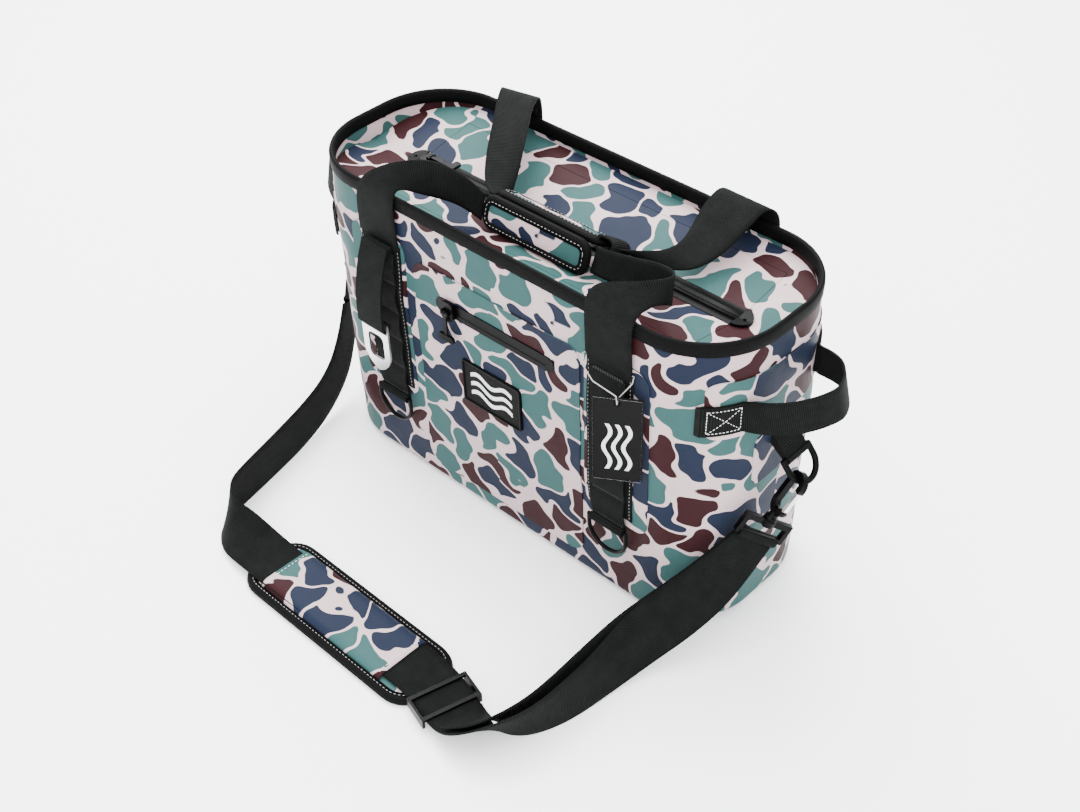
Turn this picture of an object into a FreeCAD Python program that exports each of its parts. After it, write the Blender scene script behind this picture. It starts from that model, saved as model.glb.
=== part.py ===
import FreeCAD, Part
import math
import os

# Insulated tote cooler bag, in millimetres. Origin: centre of the base on the
# floor. +X is the wearer's right along the length, -Y the front, +Z up.

# ---- bag body ------------------------------------------------------------
bag_height = 323.0
rim_half_length = 250.0
rim_half_width = 93.2
rim_corner = 75.0
taper_length = 6.6      # how much each end leans in towards the base
taper_width = 4.1
taper_corner = 6.4
base_half_length = rim_half_length - taper_length
base_half_width = rim_half_width - taper_width
base_corner = rim_corner - taper_corner
bottom_round = 12.0

skin = 1.5              # coated fabric with its seam allowance
facing = 1.5            # fabric turned in at the rim
wall_foam_thick = 12.0
base_foam_thick = 14.0
liner_thick = 1.0

binding_height = 12.0
binding_wrap = 1.2

# ---- lid, a shallow valley that drops to the zip ---------------------------
zip_z = bag_height - 31.0   # top of the lid along the zip
lid_rise = 15.0         # how much higher the lid is at the walls
lid_thick = 7.0
cover_thick = 1.2
flap_left = 67.0 - rim_half_length
flap_right = rim_half_length - 53.0
flap_fold = 66.0        # distance of each flap's fold from the zip
lid_gap = 0.5
zip_tape_half = 12.5
zip_gap = 0.4
rail_half = 4.2
tape_thick = 0.6
rail_height = 2.4

# ---- handles and the strips below them -------------------------------------
webbing = 50.0
webbing_thick = 1.6
strip_centre = 139.5
strip_top = bag_height - 52.0
strip_bottom = 105.0
panel_thick = 1.0
panel_outer = 181.0
panel_inner = 110.0
daisy_width = 38.0
daisy_top = bag_height - 61.0
daisy_bottom = 95.0
daisy_loops = 5
daisy_bulge = 3.0
ring_wire = 2.0         # radius of the rings' wire
ring_fit = 0.4
strip_ring_drop = 26.0
panel_top = bag_height - 45.0
panel_bottom = 95.0
handle_pivot_z = bag_height - 49.0
handle_standoff = 3.5   # from the front wall's face to the webbing's middle
grip_length = 124.0
grip_thick = 9.0

# ---- front pocket ----------------------------------------------------------
pocket_left = -98.0
pocket_right = 105.0
pocket_top = bag_height - 55.0
pocket_bottom = 24.0
pocket_thick = 1.2
pocket_zip_left = -70.0
pocket_zip_right = 76.0
pocket_zip_z = bag_height - 90.0
pocket_zip_half = 8.0
patch_width = 75.0
patch_height = 50.0
patch_x = -3.0
patch_z = bag_height - 163.0
patch_thick = 2.6

# ---- ends ------------------------------------------------------------------
side_webbing = 30.0
side_handle_z = bag_height - 76.0
side_handle_reach = rim_half_length + 53.0
side_ring_x = rim_half_length + 16.0
side_ring_z = bag_height - 137.0
side_ring_half = 17.0
side_ring_drop = 9.0
side_ring_slope = 50.0  # degrees below level
hook_side = -12.0       # where the hook sits on the ring, along Y

# ---- shoulder strap --------------------------------------------------------
strap_thick = 1.8
pad_length = 240.0
pad_width = 66.0
pad_thick = 8.0
pad_x = -13.0
pad_y = -284.0

os.makedirs("parts", exist_ok=True)
EPS = 1e-6


def vec(x, y, z):
    return FreeCAD.Vector(x, y, z)


def write(name, shape):
    if isinstance(shape, (list, tuple)):
        shape = Part.makeCompound(list(shape))
    shape.exportStep("parts/" + name + ".step")


def box(x0, x1, y0, y1, z0, z1):
    return Part.makeBox(x1 - x0, y1 - y0, z1 - z0, vec(x0, y0, z0))


def mirrored(shape):
    """The same piece on the left end or the left side."""
    return shape.mirror(vec(0, 0, 0), vec(1, 0, 0))


def turned_back(shape):
    """The same piece on the back wall."""
    copy = shape.copy()
    copy.rotate(vec(0, 0, 0), vec(0, 0, 1), 180)
    return copy


def fused(first, *others):
    return first.fuse(list(others)).removeSplitter()


# ---- plan outline and layers -------------------------------------------------
def plan(z, inset):
    part = z / bag_height
    half_length = base_half_length + (rim_half_length - base_half_length) * part
    half_width = base_half_width + (rim_half_width - base_half_width) * part
    corner = base_corner + (rim_corner - base_corner) * part
    return half_length - inset, half_width - inset, corner - inset


def plan_wire(z, inset):
    half_length, half_width, corner = plan(z, inset)
    cx = half_length - corner
    cy = half_width - corner
    edges = []
    for quarter in range(4):
        sx = 1 if quarter in (0, 3) else -1
        sy = 1 if quarter in (0, 1) else -1
        start = math.radians(90 * quarter)
        at = [vec(sx * cx + corner * math.cos(start + math.radians(step)),
                  sy * cy + corner * math.sin(start + math.radians(step)), z)
              for step in (0, 45, 90)]
        if edges:
            edges.append(Part.LineSegment(last, at[0]).toShape())
        else:
            first = at[0]
        edges.append(Part.Arc(*at).toShape())
        last = at[2]
    edges.append(Part.LineSegment(last, first).toShape())
    return Part.Wire(edges)


def tub(inset, z0, z1, edge_round=0.0):
    """Solid of the bag's outline, drawn in by inset, between two heights."""
    solid = Part.makeLoft([plan_wire(z0, inset), plan_wire(z1, inset)], True, True)
    if edge_round > 0:
        low = [e for e in solid.Edges if all(abs(v.Z - z0) < EPS for v in e.Vertexes)]
        solid = solid.makeFillet(edge_round, low)
    return solid


def on_skin(window, t0, t1):
    """A layer between t0 and t1 outside the fabric, as wide as the window."""
    reach = bag_height
    layer = tub(-t1, 0, reach).cut(tub(-t0, 0, reach))
    return layer.common(window)


def rounded_window(x0, x1, z0, z1, corner, y0, y1):
    """Prism along Y with rounded corners."""
    slab = box(x0, x1, y0, y1, z0, z1)
    along = [e for e in slab.Edges if abs(e.Vertexes[0].Y - e.Vertexes[1].Y) > EPS]
    return slab.makeFillet(corner, along)


def rounded_end_window(y0, y1, z0, z1, corner):
    """Prism along X with rounded corners, for the bag's right end."""
    slab = box(base_half_length - base_corner, rim_half_length + 50, y0, y1, z0, z1)
    along = [e for e in slab.Edges if abs(e.Vertexes[0].X - e.Vertexes[1].X) > EPS]
    return slab.makeFillet(corner, along)


front_lean = math.degrees(math.atan((rim_half_width - base_half_width) / bag_height))


def on_front(shape):
    """From a flat layout (y = -distance from the wall) to the front wall."""
    copy = shape.copy()
    copy.rotate(vec(0, 0, 0), vec(1, 0, 0), front_lean)
    copy.translate(vec(0, -base_half_width, 0))
    return copy


def front_point(x, out, z):
    lean = math.radians(front_lean)
    return vec(x, -base_half_width - out * math.cos(lean) - z * math.sin(lean),
               z * math.cos(lean) - out * math.sin(lean))


# ---- body layers -------------------------------------------------------------
def body_layers():
    rim_top = bag_height
    inner_skin = tub(skin, skin, rim_top, bottom_round - skin)
    shell = tub(0, 0, rim_top, bottom_round).cut(inner_skin)
    write("outer_shell", shell)

    lid_low = valley(lid_thick, 2 * bag_height)
    foam_in = skin + wall_foam_thick
    foam_floor = skin + base_foam_thick
    core = inner_skin.common(lid_low)
    write("base_foam", core.common(box(-400, 400, -200, 200, 0, foam_floor)))
    walls = core.common(box(-400, 400, -200, 200, foam_floor, rim_top))
    hollow = tub(foam_in, foam_floor, rim_top)
    write("wall_foam", walls.cut(hollow))
    liner = hollow.common(lid_low)
    room = tub(foam_in + liner_thick, foam_floor + liner_thick, rim_top)
    write("inner_liner", liner.cut(room))

    face_in = skin + facing
    low = zip_z - lid_rise
    band = tub(skin, low, rim_top).cut(tub(face_in, low, rim_top))
    write("rim_facing", band.cut(lid_low))

    wrap_top = rim_top + binding_wrap
    outer = tub(-binding_wrap, rim_top - binding_height, wrap_top)
    inner = tub(face_in + binding_wrap, rim_top - binding_height, wrap_top)
    seam = tub(0, 0, rim_top).cut(tub(face_in, 0, rim_top))
    write("rim_binding", outer.cut(inner).cut(seam))


def valley(depth_top, depth_bottom):
    """Slab that follows the lid's valley, between two depths below its top."""
    reach = rim_half_width + 20
    edge_z = zip_z + lid_rise * reach / rim_half_width
    corners = [(-reach, edge_z - depth_top), (0, zip_z - depth_top),
               (reach, edge_z - depth_top), (reach, edge_z - depth_bottom),
               (0, zip_z - depth_bottom), (-reach, edge_z - depth_bottom)]
    points = [vec(-rim_half_length - 10, y, z) for y, z in corners]
    face = Part.Face(Part.makePolygon(points + [points[0]]))
    return face.extrude(vec(2 * rim_half_length + 20, 0, 0))


def lid():
    sheet = valley(0, lid_thick).common(tub(skin + facing, zip_z - 2 * lid_thick, bag_height))
    mouth = box(flap_left - lid_gap, flap_right + lid_gap,
                -flap_fold - lid_gap, flap_fold + lid_gap, zip_z - 60, bag_height + 20)
    write("lid_border", sheet.cut(mouth))
    for side, sign in (("front", -1), ("rear", 1)):
        near, far = sorted((sign * zip_gap, sign * flap_fold))
        flap = box(flap_left, flap_right, near, far, zip_z - 60, bag_height + 20)
        write("lid_" + side + "_cover", valley(0, cover_thick).common(flap))
        write("lid_" + side + "_foam", valley(cover_thick, lid_thick).common(flap))
        near, far = sorted((sign * zip_gap, sign * zip_tape_half))
        tape = valley(-tape_thick, 0).common(
            box(flap_left, flap_right, near, far, zip_z - 60, bag_height + 20))
        near, far = sorted((sign * zip_gap, sign * rail_half))
        rail = valley(-tape_thick - rail_height, -tape_thick).common(
            box(flap_left, flap_right, near, far, zip_z - 60, bag_height + 20))
        write("zip_tape_" + side, fused(tape, rail))
    docks = []
    for sign, end in ((-1, flap_left), (1, flap_right)):
        x = end + sign * lid_gap
        disc = Part.makeCylinder(zip_tape_half, 60, vec(x, 0, zip_z - 30))
        x0, x1 = sorted((x, x + sign * 30))
        half = disc.common(box(x0, x1, -30, 30, zip_z - 30, zip_z + 30))
        hole = Part.makeCylinder(1.7, 60, vec(x + sign * 6, 0, zip_z - 30))
        docks.append(valley(-tape_thick - rail_height, 0).common(half).cut(hole))
    write("zip_docks", docks)


# ---- zip sliders and pulls -----------------------------------------------------
pull_pin = 0.9
pull_eye = 2.0
slider_rise = 6.2       # from the slider's underside to the pull's pin


def slider():
    """Slider for a zip along X, its underside at z = 0, pin along Y."""
    plate = box(-10, 10, -7.5, 7.5, 0, 4.0)
    upright = [e for e in plate.Edges if abs(e.Vertexes[0].Z - e.Vertexes[1].Z) > EPS]
    plate = plate.makeFillet(4.0, upright)
    ears = [box(-2.0, 2.0, y, y + 1.6, 3.5, slider_rise + 1.6) for y in (-4.4, 2.8)]
    pin = Part.makeCylinder(pull_pin, 8.0, vec(0, -4.0, slider_rise), vec(0, 1, 0))
    return fused(plate, ears[0], ears[1], pin)


def pull():
    """T-shaped pull, its eye at the origin about Y, lying along +X."""
    eye = Part.makeCylinder(pull_eye, 5.0, vec(0, -2.5, 0), vec(0, 1, 0))
    stem = box(0, 27, -2.0, 2.0, -0.9, 0.9)
    bar = box(25, 32, -9.5, 9.5, -1.4, 1.4)
    upright = [e for e in bar.Edges if abs(e.Vertexes[0].Z - e.Vertexes[1].Z) > EPS]
    bar = bar.makeFillet(2.5, upright)
    hole = Part.makeCylinder(pull_pin + 0.15, 6.0, vec(0, -3.0, 0), vec(0, 1, 0))
    return fused(eye, stem, bar).cut(hole)


def main_zip():
    x = flap_left + 15
    z = zip_z + lid_rise * rail_half / rim_half_width + tape_thick + rail_height + 0.4
    body = slider()
    body.translate(vec(x, 0, z))
    write("main_slider", body)
    tag = pull()
    tag.translate(vec(x, 0, z + slider_rise))
    write("main_pull", tag)


# ---- front pocket ----------------------------------------------------------
def pocket():
    face = rounded_window(pocket_left, pocket_right, pocket_bottom, pocket_top, 16.0,
                          -150, 0)
    write("pocket_panel", on_skin(face, 0, pocket_thick))

    half = pocket_zip_half
    frame = rounded_window(pocket_zip_left, pocket_zip_right, pocket_zip_z - half,
                           pocket_zip_z + half, half - 0.1, -150, 0)
    slot = rounded_window(pocket_zip_left + 9, pocket_zip_right - 9, pocket_zip_z - 2.6,
                          pocket_zip_z + 2.6, 2.5, -150, 0)
    write("pocket_zip_frame", on_skin(frame.cut(slot), pocket_thick, pocket_thick + 1.2))
    write("pocket_zip_teeth", on_skin(slot, pocket_thick, pocket_thick + 0.8))

    body = slider()
    body.rotate(vec(0, 0, 0), vec(1, 0, 0), 90)
    body.rotate(vec(0, 0, 0), vec(0, 1, 0), 90)
    out = pocket_thick + 1.6
    x = pocket_zip_left + 18
    body.translate(vec(x, -out, pocket_zip_z))
    write("pocket_slider", on_front(body))
    tag = pull()
    tag.rotate(vec(0, 0, 0), vec(1, 0, 0), 90)
    tag.rotate(vec(0, 0, 0), vec(0, 1, 0), 90)
    tag.translate(vec(x, -out - slider_rise, pocket_zip_z))
    write("pocket_pull", on_front(tag))

    window = rounded_window(patch_x - patch_width / 2, patch_x + patch_width / 2,
                            patch_z - patch_height / 2, patch_z + patch_height / 2, 5.0,
                            -150, 0)
    write("rubber_patch", on_skin(window, pocket_thick, pocket_thick + patch_thick))


# ---- rings -------------------------------------------------------------------
def d_ring(half, straight):
    """Ring in the YZ plane: bar along Y through the origin, bow towards -Z."""
    bar = Part.makeCylinder(ring_wire, 2 * half, vec(0, -half, 0), vec(0, 1, 0))
    legs = [Part.makeCylinder(ring_wire, straight, vec(0, y, 0), vec(0, 0, -1))
            for y in (-half, half)]
    knees = [Part.makeSphere(ring_wire, vec(0, y, 0)) for y in (-half, half)]
    section = Part.Face(Part.Wire(Part.makeCircle(ring_wire, vec(0, half, -straight),
                                                  vec(0, 0, 1))))
    bow = section.revolve(vec(0, 0, -straight), vec(1, 0, 0), -180)
    ring = bar
    for piece in legs + knees + [bow]:
        ring = ring.fuse(piece)
    return ring.removeSplitter()


# ---- strips, their daisy webbing and rings --------------------------------------
def strips():
    panels = []
    backings = []
    daisies = []
    tabs = []
    loop_in = ring_wire + ring_fit
    loop_out = loop_in + webbing_thick
    backing_out = panel_thick + webbing_thick
    ring_z = daisy_bottom - loop_out - 1.0
    ring_out = backing_out + loop_out
    for sign in (-1, 1):
        inner, outer = sorted((sign * panel_inner, sign * panel_outer))
        face = rounded_window(inner, outer, panel_bottom, panel_top, 14.0, -150, 0)
        panel = on_skin(face, 0, panel_thick)
        mid = sign * strip_centre
        face = box(mid - webbing / 2, mid + webbing / 2, -150, 0, strip_bottom, strip_top)
        backing = on_skin(face, panel_thick, backing_out)
        pitch = (daisy_top - daisy_bottom) / daisy_loops
        outer_side = []
        inner_side = []
        for step in range(daisy_loops):
            low = daisy_bottom + step * pitch
            high = low + pitch
            middle = (low + high) / 2
            outer_side.append(Part.Arc(
                vec(0, -backing_out - webbing_thick, low),
                vec(0, -backing_out - webbing_thick - daisy_bulge, middle),
                vec(0, -backing_out - webbing_thick, high)).toShape())
            inner_side.append(Part.Arc(
                vec(0, -backing_out, low),
                vec(0, -backing_out - daisy_bulge, middle),
                vec(0, -backing_out, high)).toShape())
        caps = [Part.LineSegment(vec(0, -backing_out - webbing_thick, z),
                                 vec(0, -backing_out, z)).toShape()
                for z in (daisy_bottom, daisy_top)]
        ring = Part.Wire(Part.__sortEdges__(outer_side + inner_side + caps))
        daisy = Part.Face(ring).extrude(vec(daisy_width, 0, 0))
        daisy.translate(vec(mid - daisy_width / 2, 0, 0))
        daisy = on_front(daisy)
        collar = Part.makeCylinder(loop_out, daisy_width,
                                   vec(mid - daisy_width / 2, -ring_out, ring_z), vec(1, 0, 0))
        tail = box(mid - daisy_width / 2, mid + daisy_width / 2,
                   -backing_out - webbing_thick, -backing_out, ring_z, daisy_bottom - 0.01)
        bore = Part.makeCylinder(loop_in, daisy_width,
                                 vec(mid - daisy_width / 2, -ring_out, ring_z), vec(1, 0, 0))
        tab = on_front(fused(collar, tail).cut(bore))
        name = "left" if sign < 0 else "right"
        bow = d_ring(daisy_width / 2 + ring_wire + 0.6, strip_ring_drop - 16.0)
        bow.rotate(vec(0, 0, 0), vec(0, 0, 1), 90)
        bow.translate(vec(mid, -ring_out, ring_z))
        bow = on_front(bow)
        write("strip_ring_front_" + name, bow)
        write("strip_ring_back_" + name, turned_back(mirrored(bow)))
        panels += [panel, turned_back(panel)]
        backings += [backing, turned_back(backing)]
        daisies += [daisy, turned_back(daisy)]
        tabs += [tab, turned_back(tab)]
    write("corner_panels", panels)
    write("strip_backings", backings)
    write("daisy_webbing", daisies)
    write("strip_ring_tabs", tabs)


# ---- bottle opener on its tab ------------------------------------------------
def opener():
    mid = -strip_centre
    bar_z = bag_height - 137.0
    tab_top = daisy_top + 6.0
    bulge_z = bar_z + 46.0
    bar_out = 21.0
    hole = 3.0
    wall = 2.6
    base_out = panel_thick + 2 * webbing_thick + daisy_bulge + 1.0
    half = 17.0
    outer_arc = Part.Arc(vec(0, -base_out - wall, tab_top), vec(0, -bar_out - wall + 1.0, bulge_z),
                         vec(0, -bar_out - hole - wall, bar_z)).toShape()
    inner_arc = Part.Arc(vec(0, -base_out, tab_top), vec(0, -bar_out + 1.0, bulge_z),
                         vec(0, -bar_out - hole, bar_z)).toShape()
    ends = [Part.LineSegment(vec(0, -base_out - wall, tab_top), vec(0, -base_out, tab_top)).toShape(),
            Part.LineSegment(vec(0, -bar_out - hole - wall, bar_z),
                             vec(0, -bar_out - hole, bar_z)).toShape()]
    profile = Part.Wire(Part.__sortEdges__([outer_arc, inner_arc] + ends))
    web = Part.Face(profile).extrude(vec(2 * half, 0, 0))
    web.translate(vec(mid - half, 0, 0))
    foot_in = panel_thick + 2 * webbing_thick
    foot = box(mid - half, mid + half, -base_out - wall, -foot_in, daisy_top + 0.3,
               tab_top + 1.5)
    collar = Part.makeCylinder(hole + wall, 2 * half, vec(mid - half, -bar_out, bar_z),
                               vec(1, 0, 0))
    bore = Part.makeCylinder(hole, 2 * half, vec(mid - half, -bar_out, bar_z), vec(1, 0, 0))
    write("opener_tab", on_front(fused(web, foot, collar).cut(bore)))

    thick = 2.2
    top = bar_z + 2.2
    left = mid - 18.0
    right = mid + 18.0
    tip = bar_z - 58.0
    shoulder = bar_z - 34.0
    turn_z = bar_z - 49.5
    edges = [Part.LineSegment(vec(left, 0, shoulder), vec(left, 0, top)).toShape(),
             Part.LineSegment(vec(left, 0, top), vec(right, 0, top)).toShape(),
             Part.LineSegment(vec(right, 0, top), vec(right, 0, shoulder)).toShape(),
             Part.Arc(vec(right, 0, shoulder), vec(mid + 12.5, 0, turn_z),
                      vec(mid, 0, tip)).toShape(),
             Part.Arc(vec(mid, 0, tip), vec(mid - 12.5, 0, turn_z),
                      vec(left, 0, shoulder)).toShape()]
    plate = Part.Face(Part.Wire(edges)).extrude(vec(0, -thick, 0))
    slot = box(mid - 17.4, mid + 17.4, -10, 10, bar_z - 8.6, bar_z - 2.2)
    window = rounded_window(mid - 10.5, mid + 10.5, bar_z - 43.0, bar_z - 14.0, 6.0, -10, 10)
    plate = plate.cut(slot).cut(window)
    plate.translate(vec(0, -bar_out + thick / 2, 0))
    write("bottle_opener", on_front(plate))


# ---- carry handles -------------------------------------------------------------
def curve(points, steps):
    """Points along a smooth line whose control points are given."""
    spline = Part.BSplineCurve()
    count = len(points)
    inner = list(range(1, count - 1))
    knots = [0] + inner[:-1] + [count - 2]
    multiplicity = [3] + [1] * (count - 3) + [3]
    spline.buildFromPolesMultsKnots([vec(*p) for p in points], multiplicity, knots, False, 2)
    return [spline.value((count - 2) * step / steps) for step in range(steps + 1)]


def section_wire(a, b, along, thick):
    """Flat rectangle from edge point a to edge point b."""
    normal = (b - a).cross(along)
    normal.normalize()
    half = normal * (thick / 2)
    corners = [a - half, b - half, b + half, a + half]
    return Part.makePolygon(corners + [corners[0]])


def ribbon(one_edge, other_edge, steps, thick):
    """Webbing between two edge lines."""
    a = curve(one_edge, steps)
    b = curve(other_edge, steps)
    wires = []
    for i in range(steps + 1):
        before = max(i - 1, 0)
        after = min(i + 1, steps)
        along = (a[after] + b[after]) - (a[before] + b[before])
        wires.append(section_wire(a[i], b[i], along, thick))
    return Part.makeLoft(wires, True, True)


def grip(low, high, thick):
    """Padded wrap between two long edges, given as (y, z) at each end."""
    (low_y, low_z), (high_y, high_z) = low, high
    across = vec(0, high_y - low_y, high_z - low_z)
    width = across.Length
    slab = box(-grip_length / 2, grip_length / 2, -thick / 2, thick / 2, 0, width)
    slab = slab.makeFillet(thick / 2 - 0.3, [e for e in slab.Edges
                           if abs(e.Vertexes[0].X - e.Vertexes[1].X) > EPS])
    lean = math.degrees(math.atan2(-across.y, across.z))
    slab.rotate(vec(0, 0, 0), vec(1, 0, 0), lean)
    slab.translate(vec(12, low_y, low_z))
    return slab


def handles():
    # heights are measured from the rim
    half = webbing / 2
    left = -strip_centre
    right = strip_centre
    wall_y = front_point(0, handle_standoff, handle_pivot_z).y
    start = handle_pivot_z + 1.0 - bag_height
    out = wall_y - 1.2
    front_left = (
        [(left - half, wall_y, start), (left - half, out, -18), (left - half + 6, out, 5),
         (-140, out + 8, 22), (-116, out + 18, 33), (-92, out + 29, 38), (-72, out + 37, 33),
         (-58, -50, 20), (-51, -43, 7)],
        [(left + half, wall_y, start), (left + half, out, -23), (left + half, out, -1),
         (-114, out + 6, 10), (-108, out + 18, 4), (-96, out + 29, -1), (-76, -58, -4),
         (-62, -52, -11), (-51, -50, -16)])
    front_right = (
        [(right - half, wall_y, start), (right - half, out, -18), (right - half, out, 7),
         (121, out + 7, 20), (140, out + 15, 23), (160, out + 27, 26), (172, -54, 26),
         (164, -40, 24), (138, -36, 19), (106, -35, 9), (75.5, -37, 6)],
        [(right + half, wall_y, start), (right + half, out, -23), (right + half, out, -1),
         (167, out + 6, 10), (174, out + 15, 5), (177, out + 27, -3), (176, -54, -14),
         (162, -44, -17), (136, -43, -17), (106, -44, -17), (75.5, -47, -15)])
    rear_left = (
        [(left - half, -wall_y, start), (left - half, -out, -18), (left - half, -out, 9),
         (-154, -out - 13, 25), (-141, -out - 33, 23), (-124, 42, 18), (-104, 14, 11),
         (-84, -12, 2), (-66, -28, 0), (-51.5, -33, 2)],
        [(left + half, -wall_y, start), (left + half, -out, -18), (left + half, -out, 13),
         (-105, -out - 13, 32), (-95, -out - 33, 32), (-80, 44, 29), (-64, 20, 22),
         (-54, 2, 8), (-52, -6, -3), (-51.5, -10, -7)])
    rear_right = (
        [(right - half, -wall_y, start), (right - half, -out, -18), (right - half, -out, 10),
         (108, -out - 11, 21), (107, -out - 31, 13), (111, 46, 4), (117, 26, -1),
         (114, 6, -3), (100, -10, -1), (88, -24, 2), (75.5, -31, 2)],
        [(right + half, -wall_y, start), (right + half, -out, -18), (right + half, -out, 10),
         (158, -out - 11, 20), (155, -out - 31, 9), (152, 46, -3), (147, 28, -10),
         (139, 10, -14), (122, -2, -15), (96, -8, -13), (75.5, -10, -8)])
    for name, edges in (("handle_webbing_front_left", front_left),
                        ("handle_webbing_front_right", front_right),
                        ("handle_webbing_rear_left", rear_left),
                        ("handle_webbing_rear_right", rear_right)):
        band = ribbon(edges[0], edges[1], 22, webbing_thick)
        band.translate(vec(0, 0, bag_height))
        write(name, band)
    for name, low, high in (("grip_front", (-50, -19), (-42, 9)),
                            ("grip_rear", (-8, -10), (-33, 7))):
        wrap = grip(low, high, grip_thick)
        wrap.translate(vec(0, 0, bag_height))
        write(name, wrap)


# ---- end handles -----------------------------------------------------------------
def end_pieces():
    patch = on_skin(rounded_end_window(-75, 75, side_handle_z - 22, side_handle_z + 38, 10), 0, 1.2)
    write("side_patches", [patch, mirrored(patch)])
    anchors = []
    for sign in (-1, 1):
        y0, y1 = sorted((sign * 50, sign * 80))
        window = box(base_half_length - base_corner, 300, y0, y1, side_handle_z - side_webbing / 2,
                     side_handle_z + side_webbing / 2)
        pad = on_skin(window, 1.2, 4.0)
        anchors += [pad, mirrored(pad)]
    write("side_handle_ends", anchors)

    tip = side_handle_reach
    foot_x = plan(side_handle_z, 0)[0] - 2.0
    foot_y = 49.4
    outer = [Part.Arc(vec(foot_x, -foot_y, 0), vec(tip - 24, -39, 0), vec(tip, 0, 0)).toShape(),
             Part.Arc(vec(tip, 0, 0), vec(tip - 24, 39, 0), vec(foot_x, foot_y, 0)).toShape()]
    band = 2.6
    inner = [Part.Arc(vec(foot_x, -foot_y + band, 0), vec(tip - 25.4, -36.6, 0),
                      vec(tip - band, 0, 0)).toShape(),
             Part.Arc(vec(tip - band, 0, 0), vec(tip - 25.4, 36.6, 0),
                      vec(foot_x, foot_y - band, 0)).toShape()]
    ends = [Part.LineSegment(vec(foot_x, y, 0), vec(foot_x, y - math.copysign(band, y), 0)).toShape()
            for y in (-foot_y, foot_y)]
    profile = Part.Wire(Part.__sortEdges__(outer + inner + ends))
    arch = Part.Face(profile).extrude(vec(0, 0, side_webbing))
    arch.translate(vec(0, 0, side_handle_z - side_webbing / 2))
    # the roots narrow towards the wall, so that the loop can swing up and down
    for sign in (-1, 1):
        corners = [(-8, 25), (-8, 0), (-2.6, 0), (18.4, 25)]
        points = [vec(foot_x + x, -80, side_handle_z + sign * z) for x, z in corners]
        arch = arch.cut(Part.Face(Part.makePolygon(points + [points[0]])).extrude(vec(0, 160, 0)))
    arch.rotate(vec(foot_x, 0, side_handle_z), vec(0, 1, 0), -14)
    arch = arch.cut(tub(-4.4, 0, bag_height))
    write("side_handle_right", arch)
    write("side_handle_left", mirrored(arch))


# ---- end rings, snap hooks and swivel eyes ---------------------------------------
def placed(shape, origin, x_axis, up):
    """Put a shape drawn about the origin into the frame of x_axis and up."""
    z_axis = vec(*up)
    z_axis.normalize()
    x_axis = vec(*x_axis)
    x_axis = x_axis - z_axis * x_axis.dot(z_axis)
    x_axis.normalize()
    y_axis = z_axis.cross(x_axis)
    matrix = FreeCAD.Matrix(x_axis.x, y_axis.x, z_axis.x, origin.x,
                            x_axis.y, y_axis.y, z_axis.y, origin.y,
                            x_axis.z, y_axis.z, z_axis.z, origin.z, 0, 0, 0, 1)
    copy = shape.copy()
    copy.Placement = FreeCAD.Placement(matrix).multiply(copy.Placement)
    return copy


hook_top = 8.0
hook_half = 11.0
hook_inner = 6.2
hook_bottom = -37.0
hook_thick = 5.0
gate_low = -29.0
gate_high = -6.0
gate_x = 8.6
gate_half = 1.8
neck_low = -44.0
swivel_gap = 0.4
bore_fit = 0.06


def hook_shapes():
    """Snap hook, gate and swivel eye, hanging from the ring wire at the origin."""
    outer = rounded_window(-hook_half, hook_half, hook_bottom, hook_top, hook_half - 0.1,
                           -hook_thick / 2, hook_thick / 2)
    inner = rounded_window(-hook_inner, hook_inner, hook_bottom + 6, ring_wire + 0.8,
                           hook_inner - 0.1, -10, 10)
    throat = box(hook_inner - 0.8, hook_half + 1, -10, 10, gate_low, gate_high)
    neck = Part.makeCylinder(4.0, 8.0, vec(0, 0, hook_bottom + 1), vec(0, 0, -1))
    flange = Part.makeCylinder(5.6, 3.0, vec(0, 0, neck_low), vec(0, 0, 1))
    pin_length = 7.4
    pin = Part.makeCylinder(2.0, pin_length, vec(0, 0, neck_low), vec(0, 0, -1))
    head = Part.makeCylinder(3.4, 2.0, vec(0, 0, neck_low - pin_length + 2), vec(0, 0, -1))
    hook = fused(outer.cut(inner).cut(throat), neck, flange, pin, head)

    pivot_z = gate_low + gate_half + 0.5
    bar = box(gate_x - gate_half, gate_x + gate_half, -1.9, 1.9, pivot_z, gate_high - 0.5)
    foot = Part.makeCylinder(gate_half, 3.8, vec(gate_x, -1.9, pivot_z), vec(0, 1, 0))
    gate = fused(bar, foot)

    eye_top = neck_low - swivel_gap
    eye_bar = 4.6
    top_bar = box(-24, 24, -2.2, 2.2, eye_top - eye_bar, eye_top)
    boss = Part.makeCylinder(6.0, eye_bar, vec(0, 0, eye_top), vec(0, 0, -1))
    sides = [box(x, x + 3.6, -2.2, 2.2, eye_top - 19.6, eye_top) for x in (-24, 20.4)]
    low_bar = box(-24, 24, -2.2, 2.2, eye_top - 19.6, eye_top - 15.6)
    bore = Part.makeCylinder(2.0 + bore_fit, 30, vec(0, 0, eye_top + 5), vec(0, 0, -1))
    eye = fused(top_bar, boss, sides[0], sides[1], low_bar)
    bore = bore.common(box(-5, 5, -5, 5, eye_top - eye_bar - 1, eye_top + 1))
    return hook, gate, eye.cut(bore)


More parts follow.
